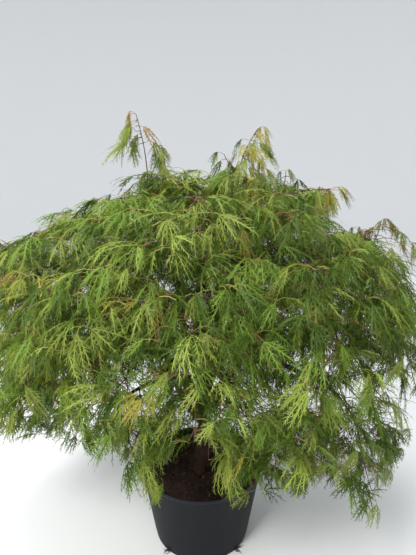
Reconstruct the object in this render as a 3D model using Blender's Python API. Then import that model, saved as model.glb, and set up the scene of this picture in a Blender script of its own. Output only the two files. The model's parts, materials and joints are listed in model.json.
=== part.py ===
"""A laceleaf maple in its nursery pot: pot, soil, trunk, boughs and masses of cut leaves.

Units are metres, +Z is up and the front faces -Y.
The origin is the middle of the pot's flat underside.
Run with: blender --background --python part.py
"""

import math
import random
from collections import namedtuple

import bmesh
import bpy
import numpy as np
from mathutils import Matrix, Vector
from mathutils.bvhtree import BVHTree

# ---------------------------------------------------------------- driving sizes

GAP = 0.0003                      # room between two pieces that touch
UP = Vector((0.0, 0.0, 1.0))

POT_HEIGHT = 0.180
POT_RIM_RADIUS = 0.140            # outside, over the rim band
POT_BASE_RADIUS = 0.108
POT_FOOT_CHAMFER = 0.004
POT_WALL = 0.0030
POT_FLOOR = 0.0040
RIM_BAND_HEIGHT = 0.012
RIM_BAND_STEP = 0.0018            # how far the rim band stands out of the wall
DRAIN_HOLES = 6
DRAIN_HOLE_RADIUS = 0.008
DRAIN_CIRCLE_RADIUS = 0.078
POT_SIDES = 36
DRAIN_HOLE_SIDES = 8
POT_SMOOTH_ANGLE = 40             # degrees: edges sharper than this stay sharp

SOIL_LEVEL = 0.160                # soil surface at the trunk
SOIL_EDGE_DROP = 0.004            # the surface falls this much to the pot wall
SOIL_FLAT_RADIUS = 0.052          # level patch under the root flare

TRUNK_HEIGHT = 0.235              # from soil to the tip, where the leader goes on
TRUNK_BASE_RADIUS = 0.0190
TRUNK_TIP_RADIUS = 0.0120
TRUNK_LEAN = 0.022                # sideways travel of the tip, towards +X
TRUNK_BEND = 0.009                # sideways swing of the stem's S shape
FLARE_WIDTH = 0.013               # extra radius of the root flare at the soil
FLARE_HEIGHT = 0.018
FLARE_TOES = 5                    # ridges of the flare
FLARE_TOE_DEPTH = 0.3             # how deep the furrows between the toes are, as a share
TRUNK_SIDES = 12
TRUNK_STEPS = 11
TRUNK_STEP_POWER = 1.35           # over 1 puts more rings into the root flare

BARK_SMOOTH_ANGLE = 70
BOUGH_SIDES = 5
BOUGH_STEPS = 6
BOUGH_TIP_RADIUS = 0.0042
BOUGH_SWING = 0.010               # size of the boughs' sideways waves
LEAVING_OUT = 0.85                # a bough leaves its parent this much outward, this much
LEAVING_UP = 0.55                 # upward and this much along the parent
LEAVING_ALONG = 0.25
LEAVING_REACH = 0.34              # length of a bough's two curve handles, as shares of its span
ARRIVING_REACH = 0.38
ARRIVING_SLOPE = 1.1              # how closely a bough's end keeps to its overall slope
ARRIVING_DROOP = 0.15

CROWN_DEPTH = 0.77                # the crown is this much shallower than it is wide
CROWN_RADIUS = 0.478
CROWN_TOP = 0.850
CROWN_WAIST = 0.430               # height where the dome turns into the hanging skirt
CROWN_FOOT = 0.105                # lowest leaf tips
CROWN_SHOULDER_POWER = 2.3        # over 2 makes the dome's shoulders fuller

STEM_STEPS = 4
STEM_RADIUS = 0.0040
STEM_ROOT_REACH = 0.50            # length of a stem's two curve handles, as shares of its span
STEM_TIP_REACH = 0.45
STEM_DROOP = 0.8                  # how far a stem's end turns down, for a hang of 1
TWIG_STEPS = (1, 3)               # joints of the stem that bear a pair of side twigs
LEAF_STEPS = (1, 2, 3)            # joints of the stem that bear a pair of leaves
TWIG_RADIUS = 0.0029
TWIG_TIP_RADIUS = 0.0021
TWIG_SIDES = 3
TWIG_KNEE = 0.45                  # share of a side twig before it bends down
TWIG_TRIES = (1.0, 0.8, 0.6, 0.45)   # lengths that a side twig tries
TWIG_STRAY = (0.9, 1.1)
TWIG_FORWARD = 0.53               # a side twig leaves this much along the stem,
TWIG_LIFT = (-0.12, 0.35)         # and between these much upward
TWIG_SAG = 1.5                    # how far its second stretch turns down, for a hang of 1

LEAF_LENGTH = 0.118               # palm to tip of the middle lobe
SHOOT_LEAF_SHARE = 0.6            # young leaves on the long shoots are smaller
LEAF_STALK_SHARE = 0.20
LEAF_THICKNESS_SHARE = 0.024
LEAF_DROOP_SHARE = 0.20           # how far the tips hang below the palm
LOBE_TURNS = (56.0, 27.0, 0.0, -27.0, -56.0)
LOBE_SHARES = (0.64, 0.90, 1.0, 0.90, 0.64)
NOTCH_SHARE = 0.30
LEAF_YAW = 65.0                   # degrees that a pair's leaves turn to either side,
TIP_SIDES = (-0.7, 0.7)           # as shares of it at a twig's tip, at its knee,
KNEE_SIDES = (-1.0, 1.0)          # halfway down its hanging stretch, on the stem,
HANGING_SIDES = (-1.6, 1.6)       # and at the tip of a stem or a shoot
STEM_SIDES = (-1.2, 1.2)
END_SIDES = (-1.0, 0.0, 1.0)
LEAF_YAW_STRAY = 35.0
LEAF_PITCH = 62.0                 # degrees below level, for a hang of 1
LEAF_PITCH_STRAY = 14.0
LEAF_PITCH_MOST = 86.0
LEAF_STRAY = (0.94, 1.06)
LEAF_SAMPLES = 8                  # test points on each spoke of a leaf
LEAF_TRIES = (1.0,) * 5 + (0.9,) * 5 + (0.8,) * 5   # sizes that a leaf tries
LEAF_ROOT_SHORT = 0.0002          # how far a leaf's root stops before its twig's middle
LEAF_APEX_SHARE = -0.11           # the leaf is thickest here, between root and palm

MASS_HANG = 0.06                  # a mass's middle lies this far below its stem,
MASS_MIDDLE_SHARE = 0.6           # and this share of the way from its root to its end
MASS_MARGIN = 0.0025              # room from a mass to the border of its space
LIMB_MARGIN = 0.0040              # room from leaves and twigs to a limb's bark
POT_MARGIN = 0.006
TIP_INSET = 0.004                 # leaves at a twig's end root this far inside it

PRUNED_PARENT = "right_front"     # a fork that was cut back: the bough that bears it,
PRUNED_ALONG = 0.34               # its place there, and where its cut face lies
PRUNED_TURN = 298
PRUNED_REACH = 0.150
PRUNED_HEIGHT = 0.418
PRUNED_RADIUS = 0.0076
PRUNED_FACE_RADIUS = 0.0072
PRUNED_STEPS = 3
PRUNED_BEND = 0.004

# One row for each bough with the mass of foliage at its tip. A bough leaves its parent at
# the share along, turns towards the compass bearing turn (0 is +X, 90 is the back) and ends
# at reach and rise. The mass's stem goes on to out and end, with side twigs of length twig.
# hang says how far its leaves point down, from 0 to 1.
Row = namedtuple("Row", "name parent along turn reach rise radius out end twig hang")
ROWS = (
    Row("top_back", "trunk", 1.00, 95, 0.050, 0.700, 0.0105, 0.180, 0.810, 0.18, 0.8),
    Row("top_left", "trunk", 0.90, 186, 0.105, 0.700, 0.0088, 0.205, 0.790, 0.18, 0.6),
    Row("top_right", "top_back", 0.24, 352, 0.090, 0.690, 0.0080, 0.205, 0.795, 0.18, 0.6),
    Row("top_front", "top_back", 0.45, 268, 0.070, 0.685, 0.0070, 0.180, 0.785, 0.18, 0.8),
    Row("right", "trunk", 0.78, 357, 0.205, 0.620, 0.0090, 0.375, 0.650, 0.18, 0.8),
    Row("right_back", "trunk", 0.62, 42, 0.205, 0.600, 0.0085, 0.360, 0.630, 0.18, 1.0),
    Row("back", "trunk", 0.82, 92, 0.215, 0.600, 0.0085, 0.350, 0.630, 0.18, 1.0),
    Row("left_back", "trunk", 0.68, 138, 0.205, 0.600, 0.0085, 0.360, 0.630, 0.18, 1.0),
    Row("left", "trunk", 0.75, 183, 0.205, 0.610, 0.0088, 0.370, 0.640, 0.18, 0.8),
    Row("left_front", "trunk", 0.58, 225, 0.205, 0.600, 0.0085, 0.355, 0.620, 0.18, 1.0),
    Row("front", "trunk", 0.84, 266, 0.205, 0.590, 0.0085, 0.340, 0.620, 0.18, 1.0),
    Row("right_front", "trunk", 0.66, 316, 0.205, 0.600, 0.0105, 0.360, 0.630, 0.18, 1.0),
    Row("skirt_right", "right", 0.42, 14, 0.255, 0.465, 0.0066, 0.390, 0.475, 0.16, 0.9),
    Row("skirt_right_back", "right_back", 0.45, 58, 0.245, 0.445, 0.0064, 0.360, 0.440, 0.17, 1.0),
    Row("skirt_back", "back", 0.42, 102, 0.255, 0.445, 0.0064, 0.350, 0.440, 0.17, 1.0),
    Row("skirt_left_back", "left_back", 0.45, 148, 0.245, 0.445, 0.0064, 0.365, 0.440, 0.17, 1.0),
    Row("skirt_left", "left", 0.42, 194, 0.255, 0.450, 0.0066, 0.385, 0.450, 0.16, 1.0),
    Row("skirt_left_front", "left_front", 0.45, 234, 0.185, 0.425, 0.0064, 0.275, 0.395, 0.16, 1.1),
    Row("skirt_front", "front", 0.45, 288, 0.170, 0.410, 0.0062, 0.245, 0.385, 0.15, 1.1),
    Row("skirt_right_front", "right_front", 0.48, 334, 0.255, 0.425, 0.0064, 0.350, 0.350, 0.16, 1.1),
)

# Long shoots that stand out of the dome: the mass that bears each, the share of the stem
# where it starts, and the bearing, reach and height of its tip.
Shoot = namedtuple("Shoot", "mass along turn reach height")
SHOOT_BOW = 0.10                  # a shoot bows outward by this share of its length
SHOOTS = (
    Shoot("top_left", 0.6, 182, 0.125, 0.943),
    Shoot("top_right", 0.6, 355, 0.120, 0.912),
    Shoot("top_right", 1.0, 358, 0.262, 0.800),
    Shoot("right", 0.8, 2, 0.375, 0.735),
    Shoot("left", 0.8, 186, 0.400, 0.700),
)

# ---------------------------------------------------------------- colours and finishes

POT_COLOUR = (0.022, 0.023, 0.025)
SOIL_COLOUR = (0.035, 0.020, 0.012)
BARK_COLOUR = (0.085, 0.062, 0.045)
LEAF_COLOURS = ((0.16, 0.32, 0.04), (0.11, 0.25, 0.035), (0.07, 0.18, 0.03))


def make_material(name, colour, roughness):
    """Plain Principled material with no metal in it."""
    material = bpy.data.materials.new(name)
    material.use_nodes = True
    shader = material.node_tree.nodes["Principled BSDF"]
    shader.inputs["Base Color"].default_value = (*colour, 1.0)
    shader.inputs["Roughness"].default_value = roughness
    shader.inputs["Metallic"].default_value = 0.0
    material.diffuse_color = (*colour, 1.0)
    return material


# ---------------------------------------------------------------- mesh helpers

def clear_scene():
    """Empty the scene of the objects that a new file starts with."""
    for item in list(bpy.data.objects):
        bpy.data.objects.remove(item, do_unlink=True)


def add_object(name, bm, material=None, smooth_angle=None):
    """Turn a bmesh into a linked object with outward faces."""
    bmesh.ops.recalc_face_normals(bm, faces=bm.faces)
    mesh = bpy.data.meshes.new(name)
    bm.to_mesh(mesh)
    bm.free()
    if smooth_angle is not None:
        mesh.shade_smooth()
        mesh.set_sharp_from_angle(angle=math.radians(smooth_angle))
    item = bpy.data.objects.new(name, mesh)
    bpy.context.scene.collection.objects.link(item)
    if material is not None:
        mesh.materials.append(material)
    return item


def apply_boolean(item, operation, operand=None, collection=None):
    """Join or cut an object's mesh and keep the result as its own plain mesh."""
    modifier = item.modifiers.new("join or cut", "BOOLEAN")
    modifier.operation = operation
    modifier.solver = "EXACT"
    if collection is None:
        modifier.object = operand
    else:
        modifier.operand_type = "COLLECTION"
        modifier.collection = collection
    graph = bpy.context.evaluated_depsgraph_get()
    result = bpy.data.meshes.new_from_object(item.evaluated_get(graph))
    item.modifiers.remove(modifier)
    plain = item.data
    item.data = result
    result.name = plain.name
    bpy.data.meshes.remove(plain)


def remove_objects(items):
    """Delete helper objects together with their meshes."""
    for item in items:
        mesh = item.data
        bpy.data.objects.remove(item, do_unlink=True)
        bpy.data.meshes.remove(mesh)


def keep_main_body(item):
    """Keep an object's largest body, and drop loose scraps and sealed hollows."""
    bm = bmesh.new()
    bm.from_mesh(item.data)
    unseen = set(bm.verts)
    bodies = []
    while unseen:
        stack = [unseen.pop()]
        body = list(stack)
        while stack:
            for edge in stack.pop().link_edges:
                for vert in edge.verts:
                    if vert in unseen:
                        unseen.remove(vert)
                        stack.append(vert)
                        body.append(vert)
        bodies.append(body)
    bodies.sort(key=len)
    for body in bodies[:-1]:
        bmesh.ops.delete(bm, geom=body, context="VERTS")
    bm.to_mesh(item.data)
    bm.free()


def turned_profile(bm, profile, sides):
    """Turn (radius, height) points about Z, and close the first and last ring with a disc."""
    rings = []
    for radius, height in profile:
        ring = []
        for side in range(sides):
            angle = math.tau * side / sides
            corner = (radius * math.cos(angle), radius * math.sin(angle), height)
            ring.append(bm.verts.new(corner))
        rings.append(ring)
    join_rings(bm, rings)


def join_rings(bm, rings):
    """Closed skin over a row of rings that have equal numbers of points."""
    sides = len(rings[0])
    for lower, upper in zip(rings, rings[1:]):
        for side in range(sides):
            following = (side + 1) % sides
            bm.faces.new((lower[side], lower[following], upper[following], upper[side]))
    bm.faces.new(list(reversed(rings[0])))
    bm.faces.new(rings[-1])


# ---------------------------------------------------------------- curves and tubes

# A limb's heading, where it has one, is the way its first face looks.
Limb = namedtuple("Limb", "points radii heading", defaults=(None,))


def place(turn, reach, height):
    """Point at a compass bearing in degrees, a reach from the pot's axis and a height."""
    angle = math.radians(turn)
    return Vector((reach * math.cos(angle), CROWN_DEPTH * reach * math.sin(angle), height))


def bezier(first, second, third, fourth, share):
    """Point on a cubic curve."""
    rest = 1.0 - share
    return (first * rest ** 3 + second * 3 * rest ** 2 * share
            + third * 3 * rest * share ** 2 + fourth * share ** 3)


def headings(points):
    """Unit direction of a polyline at each of its points."""
    result = []
    last = len(points) - 1
    for index in range(len(points)):
        before = points[max(index - 1, 0)]
        after = points[min(index + 1, last)]
        result.append((after - before).normalized())
    return result


def along(limb, share):
    """Point and direction at a share of a limb's length."""
    position = share * (len(limb.points) - 1)
    index = min(int(position), len(limb.points) - 2)
    start = limb.points[index]
    end = limb.points[index + 1]
    return start.lerp(end, position - index), (end - start).normalized()


def tube(bm, limb, sides, grow=0.0, ridge=None):
    """Tapering closed tube along a limb. ridge(index, angle) adds to the radius."""
    directions = headings(limb.points)
    if limb.heading is not None:
        directions[0] = limb.heading
    across = directions[0].orthogonal().normalized()
    rings = []
    for index, (point, direction) in enumerate(zip(limb.points, directions)):
        across = (across - direction * across.dot(direction)).normalized()
        other = direction.cross(across)
        ring = []
        for side in range(sides):
            angle = math.tau * side / sides
            radius = limb.radii[index] + grow
            if ridge is not None:
                radius += ridge(index, angle)
            spoke = across * math.cos(angle) + other * math.sin(angle)
            ring.append(bm.verts.new(point + spoke * radius))
        rings.append(ring)
    join_rings(bm, rings)


# ---------------------------------------------------------------- pot and soil

def outer_radius(height):
    """Radius of the pot's tapered outer wall, below its rim band."""
    wall_top = POT_RIM_RADIUS - RIM_BAND_STEP
    return POT_BASE_RADIUS + (wall_top - POT_BASE_RADIUS) * height / POT_HEIGHT


def inner_radius(height):
    """Radius of the pot's inner wall."""
    return outer_radius(height) - POT_WALL


def build_pot(material):
    """Tapered nursery pot with a rim band and a ring of drain holes in its floor."""
    band_foot = POT_HEIGHT - RIM_BAND_HEIGHT
    profile = (
        (POT_BASE_RADIUS - POT_FOOT_CHAMFER, 0.0),
        (outer_radius(POT_FOOT_CHAMFER), POT_FOOT_CHAMFER),
        (outer_radius(band_foot), band_foot),
        (outer_radius(band_foot) + RIM_BAND_STEP, band_foot + RIM_BAND_STEP),
        (POT_RIM_RADIUS, POT_HEIGHT),
        (inner_radius(POT_HEIGHT), POT_HEIGHT),
        (inner_radius(POT_FLOOR), POT_FLOOR),
    )
    bm = bmesh.new()
    turned_profile(bm, profile, POT_SIDES)
    pot = add_object("pot", bm, material, smooth_angle=POT_SMOOTH_ANGLE)
    for index in range(DRAIN_HOLES):
        angle = math.tau * (index + 0.5) / DRAIN_HOLES
        spot = Matrix.Translation((DRAIN_CIRCLE_RADIUS * math.cos(angle),
                                   DRAIN_CIRCLE_RADIUS * math.sin(angle), POT_FLOOR / 2))
        bm = bmesh.new()
        bmesh.ops.create_cone(bm, cap_ends=True, segments=DRAIN_HOLE_SIDES,
                              radius1=DRAIN_HOLE_RADIUS, radius2=DRAIN_HOLE_RADIUS,
                              depth=POT_FLOOR * 3, matrix=spot)
        drill = add_object("drill", bm)
        apply_boolean(pot, "DIFFERENCE", operand=drill)
        remove_objects([drill])
    return pot


def build_soil(material):
    """Filling of bark and peat, level under the trunk and lower at the pot's wall."""
    floor = POT_FLOOR + GAP
    edge = SOIL_LEVEL - SOIL_EDGE_DROP
    clear = GAP / math.cos(math.pi / POT_SIDES)
    middle = (SOIL_FLAT_RADIUS + inner_radius(edge)) / 2
    profile = (
        (inner_radius(floor) - clear, floor),
        (inner_radius(edge) - clear, edge),
        (middle, SOIL_LEVEL - SOIL_EDGE_DROP / 3),
        (SOIL_FLAT_RADIUS, SOIL_LEVEL),
    )
    bm = bmesh.new()
    turned_profile(bm, profile, POT_SIDES)
    return add_object("soil", bm, material, smooth_angle=POT_SMOOTH_ANGLE)


# ---------------------------------------------------------------- trunk and boughs

def trunk_limb():
    """Leaning S-shaped trunk from the soil to its tip."""
    points = []
    radii = []
    for step in range(TRUNK_STEPS + 1):
        share = (step / TRUNK_STEPS) ** TRUNK_STEP_POWER
        swing = TRUNK_BEND * math.sin(math.tau * share) * share
        points.append(Vector((TRUNK_LEAN * share ** TRUNK_STEP_POWER + swing,
                              TRUNK_BEND * share * (1 - share),
                              SOIL_LEVEL + GAP + TRUNK_HEIGHT * share)))
        radii.append(TRUNK_BASE_RADIUS + (TRUNK_TIP_RADIUS - TRUNK_BASE_RADIUS) * share)
    return Limb(points, radii, UP)


def flare_ridge(limb):
    """Rule for the root flare: toes that fade out above the soil."""
    def ridge(index, angle):
        height = limb.points[index].z - limb.points[0].z
        fade = math.exp(-height / FLARE_HEIGHT)
        toes = math.cos(FLARE_TOES * angle)
        return FLARE_WIDTH * fade * (1.0 - FLARE_TOE_DEPTH + FLARE_TOE_DEPTH * toes)
    return ridge


def bough_limb(row, parent):
    """Arching bough from its parent's middle, or from the face of its tip, to the mass."""
    start, heading = along(parent, row.along)
    tip = place(row.turn, row.reach, row.rise)
    outward = place(row.turn, 1.0, 0.0).normalized()
    if row.along == 1.0:
        start = start + heading * GAP
        leaving = heading
    else:
        leaving = (outward * LEAVING_OUT + UP * LEAVING_UP + heading * LEAVING_ALONG).normalized()
    span = (tip - start).length
    slope = (tip.z - start.z) / span
    arriving = (outward + UP * (ARRIVING_SLOPE * slope - ARRIVING_DROOP)).normalized()
    before_tip = tip - arriving * span * ARRIVING_REACH
    after_start = start + leaving * span * LEAVING_REACH
    sideways = outward.cross(UP)
    points = []
    radii = []
    for step in range(BOUGH_STEPS + 1):
        share = step / BOUGH_STEPS
        wave = BOUGH_SWING * math.sin(math.tau * share) * math.sin(math.pi * share)
        points.append(bezier(start, after_start, before_tip, tip, share) + sideways * wave)
        radii.append(row.radius + (BOUGH_TIP_RADIUS - row.radius) * share)
    return Limb(points, radii, heading if row.along == 1.0 else None)


def pruned_limb(parent):
    """Short fork of a bough, cut straight across at its end."""
    start = along(parent, PRUNED_ALONG)[0]
    face = place(PRUNED_TURN, PRUNED_REACH, PRUNED_HEIGHT)
    points = []
    radii = []
    for step in range(PRUNED_STEPS + 1):
        share = step / PRUNED_STEPS
        points.append(start.lerp(face, share) - UP * PRUNED_BEND * math.sin(math.pi * share))
        radii.append(PRUNED_RADIUS + (PRUNED_FACE_RADIUS - PRUNED_RADIUS) * share)
    return Limb(points, radii)


def build_trunk(limb, material):
    """Trunk with its root flare, on a flat cut at the soil."""
    bm = bmesh.new()
    tube(bm, limb, TRUNK_SIDES, ridge=flare_ridge(limb))
    return add_object("trunk", bm, material, smooth_angle=BARK_SMOOTH_ANGLE)


def build_limb(name, limb, material):
    """Bough of its whole length, from its parent's middle on."""
    bm = bmesh.new()
    tube(bm, limb, BOUGH_SIDES)
    return add_object(name, bm, material, smooth_angle=BARK_SMOOTH_ANGLE)


def cut_clear(bough, parent, parent_sides):
    """Cut a bough's root away by its parent's own shape with the gap added."""
    bm = bmesh.new()
    tube(bm, parent, parent_sides, grow=GAP / math.cos(math.pi / parent_sides))
    cutter = add_object("cutter", bm)
    apply_boolean(bough, "DIFFERENCE", operand=cutter)
    remove_objects([cutter])
    keep_main_body(bough)


# ---------------------------------------------------------------- room for the foliage

class Room:
    """Where one mass may grow: nearer to its own middle than to any other mass's,
    inside the dome, off the limbs and off the pot."""

    def __init__(self, home, others, limbs):
        self.home = np.array(home)
        away = np.array([np.array(other) - self.home for other in others])
        self.walls = away / np.linalg.norm(away, axis=1)[:, None]
        self.offsets = np.linalg.norm(away, axis=1) / 2
        starts = []
        ends = []
        radii = []
        for limb in limbs:
            for first, second, radius in zip(limb.points, limb.points[1:], limb.radii):
                starts.append(first)
                ends.append(second)
                radii.append(radius)
        self.starts = np.array(starts)
        self.spans = np.array(ends) - self.starts
        self.radii = np.array(radii)

    def holds(self, points, margin=MASS_MARGIN):
        """True if every point is on this mass's side of each border."""
        reach = (np.array(points) - self.home) @ self.walls.T
        return bool((reach <= self.offsets - margin).all())

    def off_limbs(self, points):
        """True if every point keeps its distance from the limbs."""
        steps = np.array(points)[:, None, :] - self.starts
        lengths = (self.spans ** 2).sum(axis=1)
        shares = np.clip((steps * self.spans).sum(axis=2) / lengths, 0.0, 1.0)
        nearest = steps - shares[:, :, None] * self.spans
        distances = np.linalg.norm(nearest, axis=2)
        return bool((distances >= self.radii + LIMB_MARGIN).all())


def inside_dome(points):
    """True if every point is under the dome and inside the skirt below it."""
    spots = np.array(points)
    width = np.hypot(spots[:, 0], spots[:, 1] / CROWN_DEPTH) / CROWN_RADIUS
    height = np.maximum(spots[:, 2] - CROWN_WAIST, 0.0) / (CROWN_TOP - CROWN_WAIST)
    power = CROWN_SHOULDER_POWER
    return bool((width ** power + height ** power <= 1.0).all())


def off_pot(points):
    """True if every point is above the lowest tips and clear of the pot."""
    spots = np.array(points)
    radius = np.hypot(spots[:, 0], spots[:, 1])
    beside = radius >= POT_RIM_RADIUS + POT_MARGIN
    above = spots[:, 2] >= POT_HEIGHT + POT_MARGIN
    return bool(((beside | above) & (spots[:, 2] >= CROWN_FOOT)).all())


def mass_middle(row):
    """Middle of a mass, which the borders between masses are drawn from."""
    root = place(row.turn, row.reach, row.rise)
    end = place(row.turn, row.out, row.end)
    return root.lerp(end, MASS_MIDDLE_SHARE) - UP * MASS_HANG


# ---------------------------------------------------------------- leaves and twigs

def leaf_corners():
    """Outline of a leaf as (along, across) shares of its length, root first."""
    corners = [(-LEAF_STALK_SHARE, 0.0)]
    for index, (turn, share) in enumerate(zip(LOBE_TURNS, LOBE_SHARES)):
        angle = math.radians(turn)
        corners.append((share * math.cos(angle), share * math.sin(angle)))
        if index + 1 < len(LOBE_TURNS):
            angle = math.radians((turn + LOBE_TURNS[index + 1]) / 2)
            corners.append((NOTCH_SHARE * math.cos(angle), NOTCH_SHARE * math.sin(angle)))
    return corners


CORNERS = leaf_corners()
Leaf = namedtuple("Leaf", "rim top bottom")


def make_leaf(root, heading, facing, length):
    """Five-lobed leaf: rim points round a palm, with an apex above and below it."""
    across = facing.cross(heading)
    palm = root + heading * length * LEAF_STALK_SHARE
    rim = []
    for step, side in CORNERS:
        far = max(math.hypot(step, side) - NOTCH_SHARE, 0.0)
        sag = LEAF_DROOP_SHARE * far ** 2
        rim.append(palm + (heading * step + across * side - facing * sag) * length)
    apex = palm + heading * length * LEAF_APEX_SHARE
    rise = facing * length * LEAF_THICKNESS_SHARE / 2
    return Leaf(rim, apex + rise, apex - rise)


def leaf_samples(leaf):
    """Points along a leaf's spokes, close enough together to find any limb."""
    samples = []
    for corner in leaf.rim[1:]:
        for step in range(1, LEAF_SAMPLES + 1):
            samples.append(leaf.top.lerp(corner, step / LEAF_SAMPLES))
    return samples


def leaf_mesh(bm, leaf):
    """Closed solid of a leaf: a fan of faces above its rim and another below."""
    verts = [bm.verts.new(point) for point in (*leaf.rim, leaf.top, leaf.bottom)]
    for face in LEAF_FACES:
        bm.faces.new([verts[corner] for corner in face])


def leaf_headings(outward, side, hang, rng):
    """Direction of a leaf and of its upper face: turned to one side, and hanging."""
    yaw = math.radians(side * LEAF_YAW + rng.uniform(-LEAF_YAW_STRAY, LEAF_YAW_STRAY))
    pitch = LEAF_PITCH * hang + rng.uniform(-LEAF_PITCH_STRAY, LEAF_PITCH_STRAY)
    pitch = math.radians(min(pitch, LEAF_PITCH_MOST))
    level = outward * math.cos(yaw) + outward.cross(UP) * math.sin(yaw)
    heading = level * math.cos(pitch) - UP * math.sin(pitch)
    facing = level * math.sin(pitch) + UP * math.cos(pitch)
    return heading, facing


def leaf_faces():
    """Corner numbers of a leaf's faces: its rim points come first, then top and bottom."""
    count = len(CORNERS)
    faces = []
    for corner in range(count):
        following = (corner + 1) % count
        faces.append((corner, following, count))
        faces.append((following, corner, count + 1))
    return faces


LEAF_FACES = leaf_faces()


def leaf_surface(leaf):
    """Search tree of a leaf's faces."""
    return BVHTree.FromPolygons([*leaf.rim, leaf.top, leaf.bottom], LEAF_FACES)


def twig_surface(twig):
    """Search tree of a twig's faces."""
    bm = bmesh.new()
    tube(bm, twig, TWIG_SIDES)
    tree = BVHTree.FromBMesh(bm)
    bm.free()
    return tree


# A bud is a place on a twig, with the sides to which its leaves turn. A free bud's leaves
# may stand out of the dome.
Bud = namedtuple("Bud", "twig point sides free")


def grow_leaf(room, bud, outward, side, hang, rng, grown):
    """Try a few sizes and turns of a leaf, and give the first that has room."""
    for share in LEAF_TRIES:
        heading, facing = leaf_headings(outward, side, hang, rng)
        length = LEAF_LENGTH * share * rng.uniform(*LEAF_STRAY)
        if bud.free:
            length *= SHOOT_LEAF_SHARE
        root = bud.point + heading * LEAF_ROOT_SHORT
        leaf = make_leaf(root, heading, facing, length)
        samples = leaf_samples(leaf)
        if not room.holds(leaf.rim) or not off_pot(samples):
            continue
        if not bud.free and not inside_dome(leaf.rim):
            continue
        if not room.off_limbs(samples):
            continue
        surface = leaf_surface(leaf)
        if not any(surface.overlap(other) for twig, other in grown if twig is not bud.twig):
            grown.append((None, surface))
            return leaf
    return None


def bent_twig(start, heading, length, sag):
    """Twig of two straight stretches, the second of which weeps."""
    middle = start + heading * length * TWIG_KNEE
    tip = middle + (heading - UP * sag).normalized() * length * (1.0 - TWIG_KNEE)
    middle_radius = (TWIG_RADIUS + TWIG_TIP_RADIUS) / 2
    return Limb([start, middle, tip], [TWIG_RADIUS, middle_radius, TWIG_TIP_RADIUS])


def twig_fits(room, twig, free):
    """True if a twig keeps to its mass's room."""
    points = twig.points[1:] + [twig.points[0].lerp(twig.points[1], 0.5)]
    if not free and not inside_dome(points):
        return False
    return room.holds(points, MASS_MARGIN * 2) and off_pot(points) and room.off_limbs(points)


def grow_mass(row, root, heading, room, shoots, rng):
    """Twigs and leaves of one mass, from its stem's root."""
    outward = place(row.turn, 1.0, 0.0).normalized()
    end = place(row.turn, row.out, row.end)
    span = (end - root).length
    arrive = (outward - UP * row.hang * STEM_DROOP).normalized()
    points = []
    radii = []
    for step in range(STEM_STEPS + 1):
        share = step / STEM_STEPS
        points.append(bezier(root, root + heading * span * STEM_ROOT_REACH,
                             end - arrive * span * STEM_TIP_REACH, end, share))
        radii.append(STEM_RADIUS + (TWIG_TIP_RADIUS - STEM_RADIUS) * share)
    stem = Limb(points, radii, heading)
    twigs = [stem]
    leaves = []
    buds = []
    directions = headings(points)
    for step in LEAF_STEPS:
        buds.append(Bud(stem, points[step], STEM_SIDES, False))
    for step in TWIG_STEPS:
        direction = directions[step]
        across = direction.cross(UP).normalized()
        for side in (-1.0, 1.0):
            lift = rng.uniform(*TWIG_LIFT)
            leaving = (direction * TWIG_FORWARD + across * side + UP * lift).normalized()
            twig = None
            for share in TWIG_TRIES:
                length = row.twig * share * rng.uniform(*TWIG_STRAY)
                candidate = bent_twig(points[step], leaving, length, TWIG_SAG * row.hang)
                if twig_fits(room, candidate, False):
                    twig = candidate
                    break
            if twig is None:
                continue
            twigs.append(twig)
            knee, tip = twig.points[1:]
            buds.append(Bud(twig, knee, KNEE_SIDES, False))
            buds.append(Bud(twig, knee.lerp(tip, 0.5), HANGING_SIDES, False))
            buds.append(Bud(twig, tip - headings(twig.points)[-1] * TIP_INSET, TIP_SIDES, False))
    buds.append(Bud(stem, points[-1] - directions[-1] * TIP_INSET, END_SIDES, False))
    for shoot in shoots:
        start = along(stem, shoot.along)[0]
        tip = place(shoot.turn, shoot.reach, shoot.height)
        middle = start.lerp(tip, 0.5) + outward * (tip - start).length * SHOOT_BOW
        twig = Limb([start, middle, tip], [TWIG_RADIUS, TWIG_RADIUS, TWIG_TIP_RADIUS])
        if not twig_fits(room, twig, True):
            continue
        twigs.append(twig)
        buds.append(Bud(twig, middle, KNEE_SIDES, True))
        buds.append(Bud(twig, tip - headings(twig.points)[-1] * TIP_INSET, END_SIDES, True))
    grown = [(twig, twig_surface(twig)) for twig in twigs]
    for bud in buds:
        for side in bud.sides:
            leaf = grow_leaf(room, bud, outward, side, row.hang, rng, grown)
            if leaf is not None:
                leaves.append(leaf)
    return twigs, leaves


def build_mass(name, twigs, leaves, material):
    """One solid of a mass: its stem with every twig and leaf joined on."""
    bm = bmesh.new()
    tube(bm, twigs[0], TWIG_SIDES)
    mass = add_object(name, bm, material)
    parts = bpy.data.collections.new("twigs and leaves")
    bpy.context.scene.collection.children.link(parts)
    helpers = []
    for twig in twigs[1:]:
        bm = bmesh.new()
        tube(bm, twig, TWIG_SIDES)
        helpers.append(add_object("twig", bm))
    for leaf in leaves:
        bm = bmesh.new()
        leaf_mesh(bm, leaf)
        helpers.append(add_object("leaf", bm))
    for helper in helpers:
        parts.objects.link(helper)
    apply_boolean(mass, "UNION", collection=parts)
    remove_objects(helpers)
    bpy.data.collections.remove(parts)
    keep_main_body(mass)
    return mass


# ---------------------------------------------------------------- the whole plant

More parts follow.
